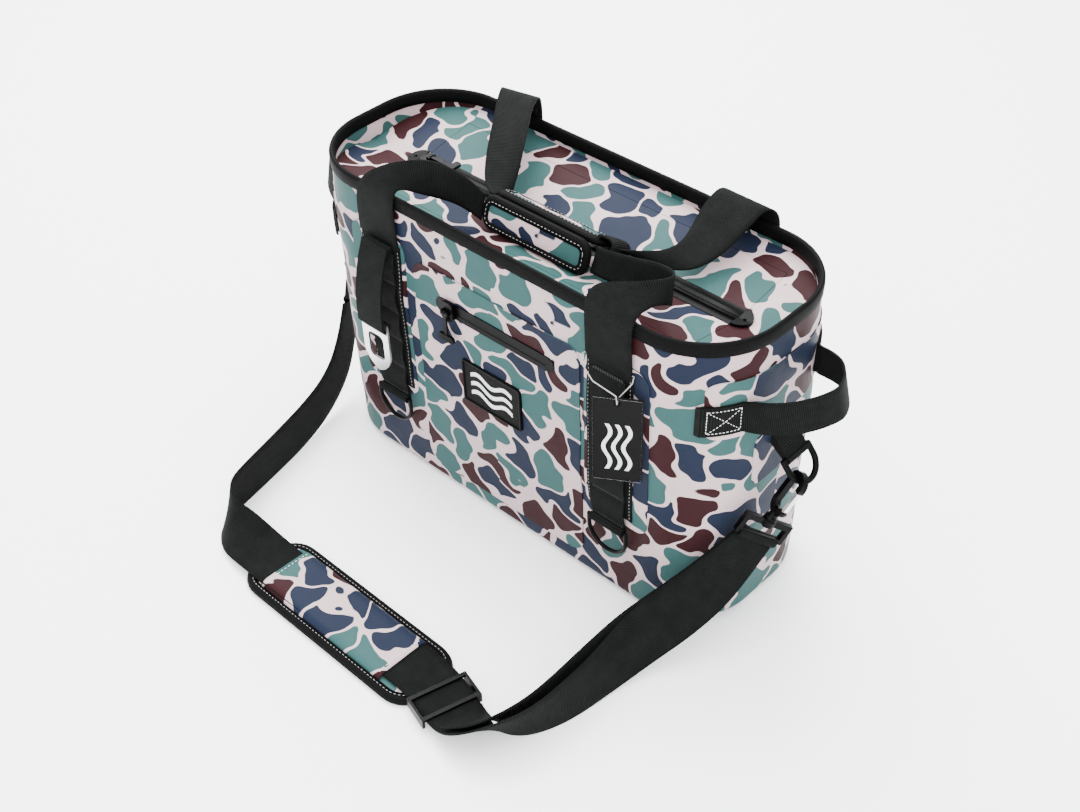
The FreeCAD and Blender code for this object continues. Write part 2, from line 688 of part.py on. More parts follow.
def end_rings():
    slope = math.radians(side_ring_slope)
    ring = d_ring(side_ring_half, side_ring_drop)
    ring.rotate(vec(0, 0, 0), vec(0, 1, 0), -(90 - side_ring_slope))
    ring.translate(vec(side_ring_x, 0, side_ring_z))
    write("side_ring_right", ring)
    write("side_ring_left", mirrored(ring))

    patch = on_skin(rounded_end_window(-34, 34, side_ring_z - 26, side_ring_z + 28, 8), 0, 1.2)
    write("side_ring_patches", [patch, mirrored(patch)])

    loop_in = ring_wire + ring_fit
    loop_out = loop_in + webbing_thick
    half = side_ring_half - ring_wire - 0.8
    collar = Part.makeCylinder(loop_out, 2 * half, vec(side_ring_x, -half, side_ring_z),
                               vec(0, 1, 0))
    bore = Part.makeCylinder(loop_in, 2 * half, vec(side_ring_x, -half, side_ring_z),
                             vec(0, 1, 0))
    wall_x = plan(side_ring_z, -1.2)[0]
    corners = [(side_ring_x, side_ring_z + loop_out), (side_ring_x - loop_out, side_ring_z),
               (wall_x - 6, side_ring_z + 16), (wall_x - 6, side_ring_z + 24),
               (wall_x + 1.5, side_ring_z + 22)]
    points = [vec(x, -half, z) for x, z in corners]
    tail = Part.Face(Part.makePolygon(points + [points[0]])).extrude(vec(0, 2 * half, 0))
    loop = fused(collar, tail).cut(bore).cut(tub(-1.2, 0, bag_height))
    write("side_ring_loops", [loop, mirrored(loop)])

    # the hook hangs where the bow passes hook_side
    across = hook_side / side_ring_half
    bow = math.sqrt(1 - across * across)
    reach = side_ring_drop + side_ring_half * bow
    at = vec(side_ring_x + reach * math.cos(slope), hook_side,
             side_ring_z - reach * math.sin(slope))
    eye_at = at - vec(17.5, 30, 55)
    up = at - eye_at
    up.normalize()
    wire_way = vec(math.cos(slope) * across, -bow, -math.sin(slope) * across) * -1
    hook, gate, eye = hook_shapes()
    hook_x = wire_way.cross(up)
    hook = placed(hook, at, hook_x, up)
    gate = placed(gate, at, hook_x, up)
    eye_x = vec(0.51, 0.67, -0.54)
    eye = placed(eye, at, eye_x, up)
    for name, shape in (("snap_hook", hook), ("hook_gate", gate), ("swivel_eye", eye)):
        write(name + "_right", shape)
        write(name + "_left", mirrored(shape))


# ---- shoulder strap ------------------------------------------------------------
# x, y, z of the webbing's middle, its turn about its own line in degrees
# (0 stands on edge, 90 lies flat) and its width
strap_route = [
    (262, -42, 115, -18, 38), (256, -62, 98, -26, 42), (247, -88, 77, -36, 47),
    (232, -114, 54, -42, 50), (217, -146, 33, -34, 50), (214, -190, 25.4, -14, 50),
    (212, -232, 25.4, -4, 50), (205, -267, 25.4, 12, 50), (189, -291, 23.8, 30, 50),
    (168, -302, 17.4, 62, 50),
    (146, -298, 11, 90, 50), (104, -285.5, 10.8, 90, 50), (58, -284, 10.7, 90, 50),
    (10, -285.4, 10.7, 90, 50), (-40, -284.2, 10.7, 90, 50), (-92, -285.6, 10.7, 90, 50),
    (-136, -284, 11, 94, 50), (-164, -286, 18, 128, 50), (-187, -283, 24, 160, 50),
    (-202, -266, 25.4, 172, 50), (-209, -238, 25.6, 176, 50), (-219, -196, 25.6, 178, 50),
    (-231, -150, 25.6, 180, 50), (-245, -108, 28, 180, 50), (-256, -74, 44, 180, 48),
    (-262, -56, 72, 174, 43), (-264, -46, 96, 164, 40), (-263.5, -41.5, 115, 152, 38)]
return_route = [
    (260.9, -38.2, 115.8, -18, 38), (252.5, -58, 95.5, -26, 42), (243, -84, 74, -37, 46),
    (227, -109, 50.5, -42, 48), (209, -142, 31, -32, 48), (200, -188, 25, -10, 48),
    (199, -230, 25, -2, 48), (194, -262, 25.5, 11, 48), (182, -285, 26, 31, 48),
    (166, -297.5, 22.8, 60, 48), (152, -298, 18.8, 76, 48)]


def arc_points(before, at, after):
    """Points of the arc that rounds a corner, with its radius."""
    one = at - before
    two = after - at
    cosine = max(-1.0, min(1.0, one.dot(two) / (one.Length * two.Length)))
    turn = math.acos(cosine)
    shorter = min(one.Length, two.Length)
    cut = 0.45 * shorter
    radius = cut / math.tan(turn / 2)
    start = at - one * (cut / one.Length)
    end = at + two * (cut / two.Length)
    inward = two * (1 / two.Length) - one * (1 / one.Length)
    inward.normalize()
    centre = at + inward * (radius / math.cos(turn / 2))
    middle = centre - inward * radius
    return Part.Arc(start, middle, end), radius


def band(route, thick):
    """Flat webbing on straight runs joined by tangent arcs."""
    at = [vec(*row[:3]) for row in route]
    places = [(at[0], 0.0)]
    radii = []
    for i in range(1, len(at) - 1):
        arc, radius = arc_points(at[i - 1], at[i], at[i + 1])
        radii.append(round(radius))
        for share in (0.0, 0.5, 1.0):
            u = arc.FirstParameter + (arc.LastParameter - arc.FirstParameter) * share
            places.append((arc.value(u), i - 0.45 + 0.9 * share))
    places.append((at[-1], len(at) - 1.0))
    wires = []
    length = 0.0
    for n, (point, where) in enumerate(places):
        before = places[max(n - 1, 0)][0]
        after = places[min(n + 1, len(places) - 1)][0]
        along = after - before
        along.normalize()
        if n:
            length += (point - before).Length
        low = min(int(where), len(route) - 2)
        part = where - low
        tilt = math.radians(route[low][3] * (1 - part) + route[low + 1][3] * part)
        width = route[low][4] * (1 - part) + route[low + 1][4] * part
        side = vec(0, 0, 1).cross(along)
        side.normalize()
        up = along.cross(side)
        across = up * math.cos(tilt) + side * math.sin(tilt)
        wires.append(section_wire(point - across * (width / 2), point + across * (width / 2),
                                  along, thick))
    solid = Part.makeLoft(wires, True, True)
    print("band length", round(length), "radii", radii, "volume", round(solid.Volume),
          "of", round(length * 49 * thick), "valid", solid.isValid(),
          "lowest", round(solid.BoundBox.ZMin, 2))
    return solid


def fitted(route):
    """Route drawn for the standard bag, its far ends moved along with a bigger one."""
    longer = rim_half_length - 250.0
    higher = bag_height - 323.0
    moved = []
    for x, y, z, tilt, width in route:
        end_share = min(max((abs(x) - 150.0) / 50.0, 0.0), 1.0)
        high_share = min(max((z - 26.0) / 87.0, 0.0), 1.0)
        moved.append((x + math.copysign(longer * end_share, x), y, z + higher * high_share,
                      tilt, width))
    return moved


def shoulder_strap():
    write("strap_webbing", band(fitted(strap_route), strap_thick))
    write("strap_return", band(fitted(return_route), strap_thick))

    slab = box(-pad_length / 2, pad_length / 2, -pad_width / 2, pad_width / 2, 0, pad_thick)
    upright = [e for e in slab.Edges if abs(e.Vertexes[0].Z - e.Vertexes[1].Z) > EPS]
    slab = slab.makeFillet(24.0, upright)
    sleeve = box(-88, 78, 0.6 - pad_width / 2, pad_width / 2 - 0.6, pad_thick, pad_thick + 5.6)
    channel = box(-130, 130, -30.4, 30.4, pad_thick + 0.6, pad_thick + 4.6)
    pad = fused(slab, sleeve).cut(channel)
    pad.rotate(vec(0, 0, 0), vec(0, 0, 1), -1.0)
    pad.translate(vec(pad_x, pad_y, 0))
    write("shoulder_pad", pad)

    half_long = 29.0
    half_short = 15.0
    bar = 4.0
    slot_half = 26.6
    middle = box(-bar / 2, bar / 2, -half_long, half_long, 0, 4.0)
    low_sides = [box(-half_short, half_short, y, y + half_long - slot_half, 0, 10.0)
                 for y in (-half_long, slot_half)]
    high_bars = [box(x, x + bar, -half_long, half_long, 7.2, 10.0)
                 for x in (-half_short, half_short - bar)]
    glide = fused(middle, *low_sides, *high_bars)
    glide.rotate(vec(0, 0, 0), vec(0, 0, 1), -16.3)
    glide.translate(vec(124, -291.4, 5.2))
    write("tri_glide", glide)


# ---- hang tag ------------------------------------------------------------------
tag_width = 44.0
tag_height = 90.0
tag_thick = 0.8
tag_hole = 3.0
tag_yaw = 31.0
tag_x = 160.0
tag_y = -108.5
tag_z = bag_height - 73.0


def hang_tag():
    card = rounded_window(-tag_width / 2, tag_width / 2, -tag_height + 6, 6, 2.0,
                          -tag_thick / 2, tag_thick / 2)
    hole = Part.makeCylinder(tag_hole, 10, vec(0, -5, 0), vec(0, 1, 0))
    card = card.cut(hole)
    card.rotate(vec(0, 0, 0), vec(0, 0, 1), tag_yaw)
    card.translate(vec(tag_x, tag_y, tag_z))
    write("hang_tag", card)

    radius = 0.5
    behind = front_point(strip_centre, panel_thick + 0.9, strip_top + 1.0)
    left = vec(strip_centre - webbing / 2 - 4, behind.y - 3, behind.z)
    right = vec(strip_centre + webbing / 2 + 4, behind.y - 3, behind.z)
    yaw = math.radians(tag_yaw)
    normal = vec(math.sin(yaw), -math.cos(yaw), 0)
    knot = vec(tag_x, tag_y, tag_z + 0.3)
    front = knot + normal * 2.0
    back = knot - normal * 6.3
    above = front + vec(-1, 0, 8)
    route = [front, above, vec(138, -114, tag_z + 15), vec(left.x + 1, -103, left.z - 2),
             vec(left.x + 3, behind.y, behind.z), vec(right.x - 3, behind.y, behind.z),
             vec(right.x, -100, right.z - 2), back]
    tube = None
    for a, b in zip(route, route[1:] + [front]):
        run = Part.makeCylinder(radius, (b - a).Length, a, b - a)
        bead = Part.makeSphere(radius, b)
        tube = run.fuse(bead) if tube is None else tube.fuse(run).fuse(bead)
    write("tag_string", tube.removeSplitter())


body_layers()
lid()
main_zip()
pocket()
strips()
opener()
handles()
end_pieces()
end_rings()
shoulder_strap()
hang_tag()
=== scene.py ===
import bmesh
import bpy
import math
from mathutils import Matrix, Vector, noise


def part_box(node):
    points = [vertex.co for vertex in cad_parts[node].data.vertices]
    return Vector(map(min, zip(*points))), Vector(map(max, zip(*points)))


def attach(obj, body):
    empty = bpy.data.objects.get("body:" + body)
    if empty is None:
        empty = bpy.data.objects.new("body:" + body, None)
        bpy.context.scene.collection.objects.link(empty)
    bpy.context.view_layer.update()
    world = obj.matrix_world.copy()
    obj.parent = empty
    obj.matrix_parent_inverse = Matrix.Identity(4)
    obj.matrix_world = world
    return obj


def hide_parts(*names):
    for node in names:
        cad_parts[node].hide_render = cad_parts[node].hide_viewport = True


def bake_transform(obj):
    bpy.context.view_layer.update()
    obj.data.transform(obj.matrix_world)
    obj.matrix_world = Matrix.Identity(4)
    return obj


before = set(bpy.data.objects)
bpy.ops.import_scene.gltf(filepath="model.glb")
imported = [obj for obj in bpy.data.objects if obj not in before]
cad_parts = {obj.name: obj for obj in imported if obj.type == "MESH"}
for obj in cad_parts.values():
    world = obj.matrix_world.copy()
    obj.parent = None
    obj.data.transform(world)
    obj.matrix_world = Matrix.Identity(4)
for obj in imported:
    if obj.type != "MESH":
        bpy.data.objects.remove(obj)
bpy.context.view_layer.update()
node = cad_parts

# ---- webbing ----------------------------------------------------------------------
# Black woven polyester webbing: ribs run across it and fine cords along it. It is sewn
# with white, grey or near black thread. Each finish is written as sums on the values
# of a material's sockets.
class Value:
    """A socket's value in a material's node tree."""

    def __init__(self, tree, socket):
        self.tree = tree
        self.socket = socket

    def make(self, kind, settings=None, sockets=None, output=0):
        made = self.tree.nodes.new(kind)
        for key, setting in (settings or {}).items():
            if key == "stops":
                ramp = made.color_ramp
                for spot in range(len(setting) - 2):
                    ramp.elements.new(0.5)
                for element, (place, colour) in zip(ramp.elements, setting):
                    element.position = place
                    element.color = (*colour, 1.0)
            elif key == "interpolation":
                made.color_ramp.interpolation = setting
            else:
                setattr(made, key, setting)
        for key, value in (sockets or {}).items():
            if isinstance(value, Value):
                self.tree.links.new(value.socket, made.inputs[key])
            else:
                made.inputs[key].default_value = value
        return Value(self.tree, made.outputs[output])

    def sum(self, operation, a, b):
        return self.make("ShaderNodeMath", {"operation": operation}, {0: a, 1: b})

    def __add__(self, other):
        return self.sum("ADD", self, other)

    __radd__ = __add__

    def __sub__(self, other):
        return self.sum("SUBTRACT", self, other)

    def __rsub__(self, other):
        return self.sum("SUBTRACT", other, self)

    def __mul__(self, other):
        return self.sum("MULTIPLY", self, other)

    __rmul__ = __mul__

    def step(self, low, high):
        """0 below low, 1 above high, smooth between them."""
        return self.make("ShaderNodeMapRange", {"interpolation_type": "SMOOTHSTEP"},
                         {"Value": self, "From Min": low, "From Max": high})

    def mixed(self, a, b):
        """Colour a where this is 0 and colour b where it is 1."""
        return self.make("ShaderNodeMix", {"data_type": "RGBA"}, {0: self, 6: a, 7: b}, 2)

    def noise(self, scale, detail=2.0):
        return self.make("ShaderNodeTexNoise", {}, {"Vector": self, "Scale": scale,
                                                    "Detail": detail})

    def axis(self, index):
        """One coordinate of these: 0 for X, 1 for Y or 2 for Z."""
        return self.make("ShaderNodeSeparateXYZ", {}, {"Vector": self}, index)

    def sine(self):
        return self.make("ShaderNodeMath", {"operation": "SINE"}, {0: self})

    def placed(self, location, scale):
        return self.make("ShaderNodeMapping", {}, {"Vector": self, "Location": location,
                                                   "Scale": scale})


def finish(name, roughness, coords="Object", metallic=0.0, **shader):
    """New material with its shader's constants: gives it, its coordinates and its shader.

    A shader socket's name is written with _ for each space.
    """
    made = bpy.data.materials.new(name)
    made.use_nodes = True
    tree = made.node_tree
    shade = tree.nodes["Principled BSDF"]
    shade.inputs["Roughness"].default_value = roughness
    shade.inputs["Metallic"].default_value = metallic
    for key, value in shader.items():
        shade.inputs[key.replace("_", " ")].default_value = value
    source = tree.nodes.new("ShaderNodeTexCoord")
    return made, Value(tree, source.outputs[coords]), shade


def plug(shade, name, value):
    value.tree.links.new(value.socket, shade.inputs[name])


def bumped(shade, height, distance, strength=1.0):
    plug(shade, "Normal", height.make("ShaderNodeBump", {}, {
        "Height": height, "Distance": distance, "Strength": strength}))


def painted(piece, material):
    if piece.material_slots:
        for slot in piece.material_slots:
            slot.material = material
    else:
        piece.data.materials.append(material)


webbing_black, place, shade = finish("webbing_black", 0.75, "UV", Specular_IOR_Level=0.04)
ribs = (place.axis(0) * 3900.0).sine()
cords = (place.axis(1) * 5200.0).sine()
weave = ribs * 0.6 + cords * ribs * 0.4
dust = place.noise(70.0, 3.0)
tone = (weave * 0.45 + 0.5 + (dust - 0.5) * 0.5).step(0.0, 1.1)
plug(shade, "Base Color", tone.mixed((0.0008, 0.0010, 0.0009, 1), (0.0085, 0.0094, 0.0088, 1)))
bumped(shade, weave, 0.00035)
thread_white, place, shade = finish("thread_white", 0.7)
shade.inputs["Base Color"].default_value = (0.62, 0.62, 0.60, 1)
bumped(shade, place.noise(2500.0), 0.0002)
thread_grey, place, shade = finish("thread_grey", 0.7)
plug(shade, "Base Color", place.noise(900.0).mixed((0.18, 0.18, 0.18, 1), (0.30, 0.30, 0.29, 1)))


def route_line(points, steps=8):
    """Points along the smooth line that these points steer."""
    data = bpy.data.curves.new("line", "CURVE")
    data.dimensions = "3D"
    data.resolution_u = steps
    spline = data.splines.new("NURBS")
    spline.points.add(len(points) - 1)
    for spot, point in zip(spline.points, points):
        spot.co = (*point, 1.0)
    spline.order_u = 3
    spline.use_endpoint_u = True
    holder = bpy.data.objects.new("line", data)
    bpy.context.scene.collection.objects.link(holder)
    bpy.context.view_layer.update()
    mesh = bpy.data.meshes.new_from_object(holder)
    found = [v.co.copy() for v in mesh.vertices]
    bpy.data.objects.remove(holder)
    bpy.data.meshes.remove(mesh)
    return found


def added(name, bm):
    """A new piece from a finished bmesh."""
    mesh = bpy.data.meshes.new(name)
    bm.to_mesh(mesh)
    bm.free()
    for face in mesh.polygons:
        face.use_smooth = True
    piece = bpy.data.objects.new(name, mesh)
    bpy.context.scene.collection.objects.link(piece)
    return piece


def band(name, left, right, thick, camber=0.0, columns=6):
    """Webbing between two lines of points, with metres along and across as its UV."""
    bm = bmesh.new()
    layer = bm.loops.layers.uv.new("UVMap")
    metres = {}
    for line, far_side in ((left, 0.0), (right, 1.0)):
        spots = [bm.verts.new(p) for p in line]
        length = 0.0
        for index, spot in enumerate(spots):
            if index:
                middle = (left[index] + right[index]) / 2
                length += (middle - (left[index - 1] + right[index - 1]) / 2).length
                bm.edges.new((spots[index - 1], spot))
            metres[spot] = (length, far_side * (left[index] - right[index]).length)
    bmesh.ops.bridge_loops(bm, edges=bm.edges[:])
    for face in bm.faces:
        for loop in face.loops:
            loop[layer].uv = metres[loop.vert]
    rungs = []
    for edge in bm.edges:
        (along_a, across_a), (along_b, across_b) = (metres[spot] for spot in edge.verts)
        if (across_a == 0) != (across_b == 0) and abs(along_a - along_b) < 1e-9:
            rungs.append(edge)
    bmesh.ops.subdivide_edges(bm, edges=rungs, cuts=columns - 1, use_grid_fill=True)
    bmesh.ops.recalc_face_normals(bm, faces=bm.faces[:])
    bm.normal_update()
    if camber:
        across = {loop.vert: loop[layer].uv[1] for face in bm.faces for loop in face.loops}
        widest = max(across.values())
        for spot, gone in across.items():
            spot.co += spot.normal * camber * math.sin(math.pi * gone / widest)
    piece = added(name, bm)
    walls = piece.modifiers.new("thickness", "SOLIDIFY")
    walls.thickness = thick
    walls.offset = 0.0
    return piece


# ---- shoulder strap ---------------------------------------------------------------
# One long band of 50 mm webbing from eye to eye, and its doubled-back end, which
# comes round the right eye and into the adjuster. A row of a route is x, y and z in
# millimetres, the webbing's turn from upright in degrees, and its width.
strap_thick = 0.0017
strap_route = [
    (262, -42, 115, -18, 38), (256, -62, 98, -26, 42), (247, -88, 77, -36, 47),
    (232, -114, 54, -42, 50), (217, -146, 33, -34, 50), (214, -190, 25.4, -14, 50),
    (212, -232, 25.4, -4, 50), (205, -267, 25.4, 12, 50), (189, -291, 23.8, 30, 50),
    (168, -302, 17.4, 62, 50),
    (146, -298, 11, 90, 50), (104, -285.5, 10.8, 90, 50), (58, -284, 10.7, 90, 50),
    (10, -285.4, 10.7, 90, 50), (-40, -284.2, 10.7, 90, 50), (-92, -285.6, 10.7, 90, 50),
    (-136, -284, 11, 94, 50), (-164, -286, 18, 128, 50), (-187, -283, 24, 160, 50),
    (-202, -266, 25.4, 172, 50), (-209, -238, 25.6, 176, 50), (-219, -196, 25.6, 178, 50),
    (-231, -150, 25.6, 180, 50), (-245, -108, 28, 180, 50), (-256, -74, 44, 180, 48),
    (-262, -56, 72, 174, 43), (-264, -46, 96, 164, 40), (-263.5, -41.5, 115, 152, 38)]
return_route = [
    (260.9, -38.2, 115.8, -18, 38), (252.5, -58, 95.5, -26, 42), (243, -84, 74, -37, 46),
    (227, -109, 50.5, -42, 48), (209, -142, 31, -32, 48), (200, -188, 25, -10, 48),
    (199, -230, 25, -2, 48), (194, -262, 25.5, 11, 48), (182, -285, 26, 31, 48),
    (166, -297.5, 22.8, 60, 48), (152, -298, 18.8, 76, 48)]


def strap(name, route):
    """Band along a route of x, y, z, turn and width: gives it and its middle line."""
    spots = [Vector(r[:3]) / 1000 for r in route]
    left = []
    right = []
    for index, (spot, (*_, tilt, width)) in enumerate(zip(spots, route)):
        along = spots[min(index + 1, len(spots) - 1)] - spots[max(index - 1, 0)]
        along.normalize()
        side = Vector((0, 0, 1)).cross(along).normalized()
        angle = math.radians(tilt)
        across = along.cross(side) * math.cos(angle) + side * math.sin(angle)
        left.append(spot - across * width / 2000)
        right.append(spot + across * width / 2000)
    piece = band(name, route_line(left), route_line(right), strap_thick)
    painted(piece, webbing_black)
    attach(piece, "bag")
    return piece, route_line(spots)


def measured(line):
    return round(sum((b - a).length for a, b in zip(line, line[1:])), 3)


strap_webbing, strap_line = strap("shoulder_webbing", strap_route)
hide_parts("strap_webbing")
measured(strap_line)
strap_return, return_line = strap("return_webbing", return_route)
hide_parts("strap_return")
measured(return_line)

# ---- bag body -----------------------------------------------------------------------
# Coated fabric shell over foam walls. The fabric is printed with rounded patches of
# three colours on a pale ground, and it stands a little proud of the foam in soft swells.
ground = (0.39, 0.300, 0.310)
teal = (0.024, 0.062, 0.060)
navy = (0.0080, 0.0115, 0.0230)
maroon = (0.0185, 0.0052, 0.0062)
patches_per_metre = (27.0, 30.0, 1.0)


def camo_fabric(name, shift):
    """Printed fabric whose pattern starts at its own place."""
    made, place, shade = finish(name, 0.5, "UV", Specular_IOR_Level=0.04)
    spot = place.placed(shift, patches_per_metre)
    bent = spot
    for scale, reach in ((1.1, 0.9), (2.6, 0.15)):
        drift = spot.make("ShaderNodeTexNoise", {"noise_dimensions": "2D"},
                          {"Vector": spot, "Scale": scale, "Detail": 0.0}, 1)
        bent = spot.make("ShaderNodeVectorMath", {"operation": "MULTIPLY_ADD"},
                         {0: drift, 1: (reach,) * 3, 2: bent})
    cell = {"Vector": bent, "Scale": 1.0, "Randomness": 0.95}
    nearest = {"voronoi_dimensions": "2D", "feature": "F1"}
    near = spot.make("ShaderNodeTexVoronoi", nearest, cell)
    pick = spot.make("ShaderNodeTexVoronoi", nearest, cell, 1)
    soft = spot.make("ShaderNodeTexVoronoi", {"voronoi_dimensions": "2D", "feature": "SMOOTH_F1"},
                     {**cell, "Smoothness": 1.0})
    patch = 1.0 - (near - soft).step(0.077, 0.086)
    number = spot.make("ShaderNodeSeparateColor", {}, {"Color": pick}, 0)
    ink = spot.make("ShaderNodeValToRGB", {
        "interpolation": "CONSTANT",
        "stops": [(0.0, teal), (0.43, navy), (0.74, maroon), (1.0, ground)]},
        {"Fac": number})
    print_tone = patch.mixed((*ground, 1), ink)
    mottle = place.noise(60.0, 4.0)
    print_tone = place.make("ShaderNodeHueSaturation", {}, {
        "Color": print_tone, "Value": mottle * 0.22 + 0.89, "Saturation": 1.0})
    plug(shade, "Base Color", print_tone)
    plug(shade, "Roughness", mottle * 0.18 + 0.40)
    ripples = place.noise(26.0, 3.0) * 0.7 + place.noise(1500.0, 1.0) * 0.06
    bumped(shade, ripples, 0.0022, 0.6)
    return made


camo_body = camo_fabric("camo_body", (0.0, 0.0, 0.0))
camo_front = camo_fabric("camo_front", (3.1, 1.7, 0.6))
camo_panels = camo_fabric("camo_panels", (7.3, 2.2, 4.1))
camo_lid = camo_fabric("camo_lid", (11.6, 5.0, 2.3))

# places where hardware is sewn on or slides, and the fabric lies tight
tight_spots = [Vector(p) for p in (
    (-0.1395, -0.11, 0.186), (-0.1395, -0.11, 0.15), (0.255, 0, 0.2), (-0.255, 0, 0.2),
    (0.25, 0.05, 0.247), (0.25, -0.05, 0.247), (-0.25, 0.05, 0.247), (-0.25, -0.05, 0.247),
    (0.16, -0.1, 0.25), (0.17, -0.1, 0.22), (0.17, -0.1, 0.19), (0.16, -0.1, 0.16))]
tight_spots += [Vector((x, -0.1, 0.233)) for x in (-0.075, -0.05, -0.025, 0.0, 0.025, 0.05, 0.075)]
tight_spots += [Vector((x, y, z)) for x in (-0.165, -0.1395, -0.114, 0.114, 0.1395, 0.165)
                for y in (-0.1, 0.1) for z in (0.09, 0.26, 0.285)]
tight_reach = 0.045       # how far from such a place the fabric is still held
swell_height = 0.0030


def held(value):
    """The value, kept between 0 and 1."""
    return max(0.0, min(1.0, value))


def outward(spot):
    core = Vector((max(-0.175, min(0.175, spot.x)), max(-0.018, min(0.018, spot.y)), spot.z))
    away = spot - core
    return away.normalized() if away.length > 1e-6 else Vector((0, 0, 0))


def softened(spot):
    """Where a point on the wall goes when the fabric swells softly."""
    slack = held(spot.z / 0.05) * held((0.303 - spot.z) / 0.03)
    for tight in tight_spots:
        reach = held((spot - tight).length / tight_reach)
        slack *= reach * reach * (3 - 2 * reach)
    swell = 0.5 + 0.5 * noise.noise(spot * 11.0) + 0.3 * noise.noise(spot * 27.0)
    return spot + outward(spot) * swell_height * slack * max(0.0, swell)


def cut_in_grid(bm, pitch):
    """Cuts a piece's faces by planes along X, Y and Z, so that it can bend."""
    for axis in range(3):
        low = min(v.co[axis] for v in bm.verts)
        high = max(v.co[axis] for v in bm.verts)
        normal = Vector((0, 0, 0))
        normal[axis] = 1.0
        for count in range(1, int((high - low) / pitch)):
            where = normal * (low + count * pitch)
            bmesh.ops.bisect_plane(bm, geom=bm.verts[:] + bm.edges[:] + bm.faces[:],
                                   plane_co=where, plane_no=normal, dist=1e-6)


front_half = 0.1748       # flat part of the front wall, from its middle
end_half = 0.0186         # flat part of an end wall, from its middle
bend_radius = 0.0737
half_round = 2 * (front_half + bend_radius * math.pi / 2 + end_half)
back_seam = -0.1395       # the print's seam hides behind the rear left strip


def along_wall(spot, face):
    """Metres round the wall and up it, or the plan's own metres underneath."""
    if abs(face.normal.z) > 0.7:
        return spot.x, spot.y
    past_x = abs(spot.x) - front_half
    past_y = abs(spot.y) - end_half
    if past_x <= 0:
        gone = abs(spot.x)
    elif past_y <= 0:
        gone = half_round / 2 - abs(spot.y)
    else:
        gone = front_half + bend_radius * math.atan2(past_x, past_y)
    middle = face.calc_center_median()
    if middle.y > 0:
        gone = half_round - gone
        if back_seam < middle.x < 0:
            return half_round - spot.x, spot.z
    return math.copysign(gone, middle.x), spot.z


# the other ways that a print or a weave lies on a piece
def across_plan(spot, face):
    return spot.x, spot.y


def up_wall(spot, face):
    return spot.z, spot.x


def up_end(spot, face):
    return spot.z, spot.y


def along_end(spot, face):
    return spot.y, spot.z


def cloth(source, name, material, body="bag", pitch=0.012, shape=softened, uv=None):
    """Soft piece from a plain solid: its faces are cut up and take a shape.

    uv gives the print's metres for a point of a face.
    """
    bm = bmesh.new()
    bm.from_mesh(node[source].data)
    for layer in list(bm.loops.layers.uv):
        bm.loops.layers.uv.remove(layer)
    bmesh.ops.remove_doubles(bm, verts=bm.verts[:], dist=1e-5)
    bmesh.ops.dissolve_limit(bm, angle_limit=math.radians(1.0), verts=bm.verts[:],
                             edges=bm.edges[:])
    cut_in_grid(bm, pitch)
    bmesh.ops.triangulate(bm, faces=[f for f in bm.faces if len(f.verts) > 4])
    if uv:
        layer = bm.loops.layers.uv.new("UVMap")
        for face in bm.faces:
            for loop in face.loops:
                loop[layer].uv = uv(loop.vert.co, face)
    if shape:
        for spot in bm.verts:
            spot.co = shape(spot.co)
    piece = added(name, bm)
    piece.data.set_sharp_from_angle(angle=math.radians(38))
    painted(piece, material)
    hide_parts(source)
    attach(piece, body)


cloth("outer_shell", "outer_fabric", camo_body, uv=along_wall)
cloth("corner_panels", "corner_panels_fabric", camo_panels, uv=along_wall)
cloth("pocket_panel", "pocket_panel_fabric", camo_front, uv=along_wall)
cloth("side_patches", "side_patch_fabric", camo_front, uv=along_wall)
cloth("side_ring_patches", "ring_patch_fabric", camo_panels, uv=along_wall)
cloth("rim_facing", "rim_facing_fabric", camo_panels, uv=along_wall)

# ---- liner and foam -----------------------------------------------------------------
# Welded pale grey liner and white closed-cell foam, seen only with the lid open.
liner_grey, place, shade = finish("liner_grey", 0.38)
plug(shade, "Base Color", place.noise(40.0).mixed((0.50, 0.51, 0.52, 1), (0.58, 0.59, 0.60, 1)))
bumped(shade, place.noise(35.0, 3.0), 0.002, 0.5)
foam_white, place, shade = finish("foam_white", 0.9)
plug(shade, "Base Color", place.noise(300.0).mixed((0.62, 0.62, 0.60, 1), (0.72, 0.72, 0.70, 1)))
bumped(shade, place.noise(900.0), 0.0005)
cloth("inner_liner", "liner_fabric", liner_grey, shape=None, pitch=0.02)
for name in ("wall_foam", "base_foam", "lid_front_foam", "lid_rear_foam"):
    painted(node[name], foam_white)

# ---- lid ----------------------------------------------------------------------------
# Two camo flaps fall from the rim to the zip. The fabric lies loose over thin foam and
# creases lightly towards the zip.
def lid_creases(spot):
    calm = held((abs(spot.y) - 0.013) / 0.02) * held((0.0925 - abs(spot.y)) / 0.02)
    lift = 0.5 + 0.5 * noise.noise(Vector((spot.x * 16.0, spot.y * 9.0, 3.0)))
    return spot + Vector((0, 0, 0.0020 * calm * lift))


for source, name, body in (("lid_border", "lid_border_fabric", "bag"),
                           ("lid_front_cover", "lid_front_fabric", "front_flap"),
                           ("lid_rear_cover", "lid_rear_fabric", "rear_flap")):
    cloth(source, name, camo_lid, body, shape=lid_creases, uv=across_plan)

# ---- rim binding --------------------------------------------------------------------
# Black woven tape folded over the raw edge of the wall and its facing, sewn through.
binding_black, place, shade = finish("binding_black", 0.6, Specular_IOR_Level=0.03)
ribs = (place.axis(2) * 5200.0).sine()
plug(shade, "Base Color", (ribs * 0.3 + 0.5).mixed((0.0007, 0.0007, 0.0008, 1),
                                                   (0.0030, 0.0031, 0.0031, 1)))
bumped(shade, ribs * 0.5 + place.noise(900.0), 0.00025, 0.7)


rim_height = 0.323

# the signs of X and Y at each rounded corner, and the direction that its arc starts in
quarters = ((1, 1, 0), (-1, 1, 90), (-1, -1, 180), (1, -1, 270))


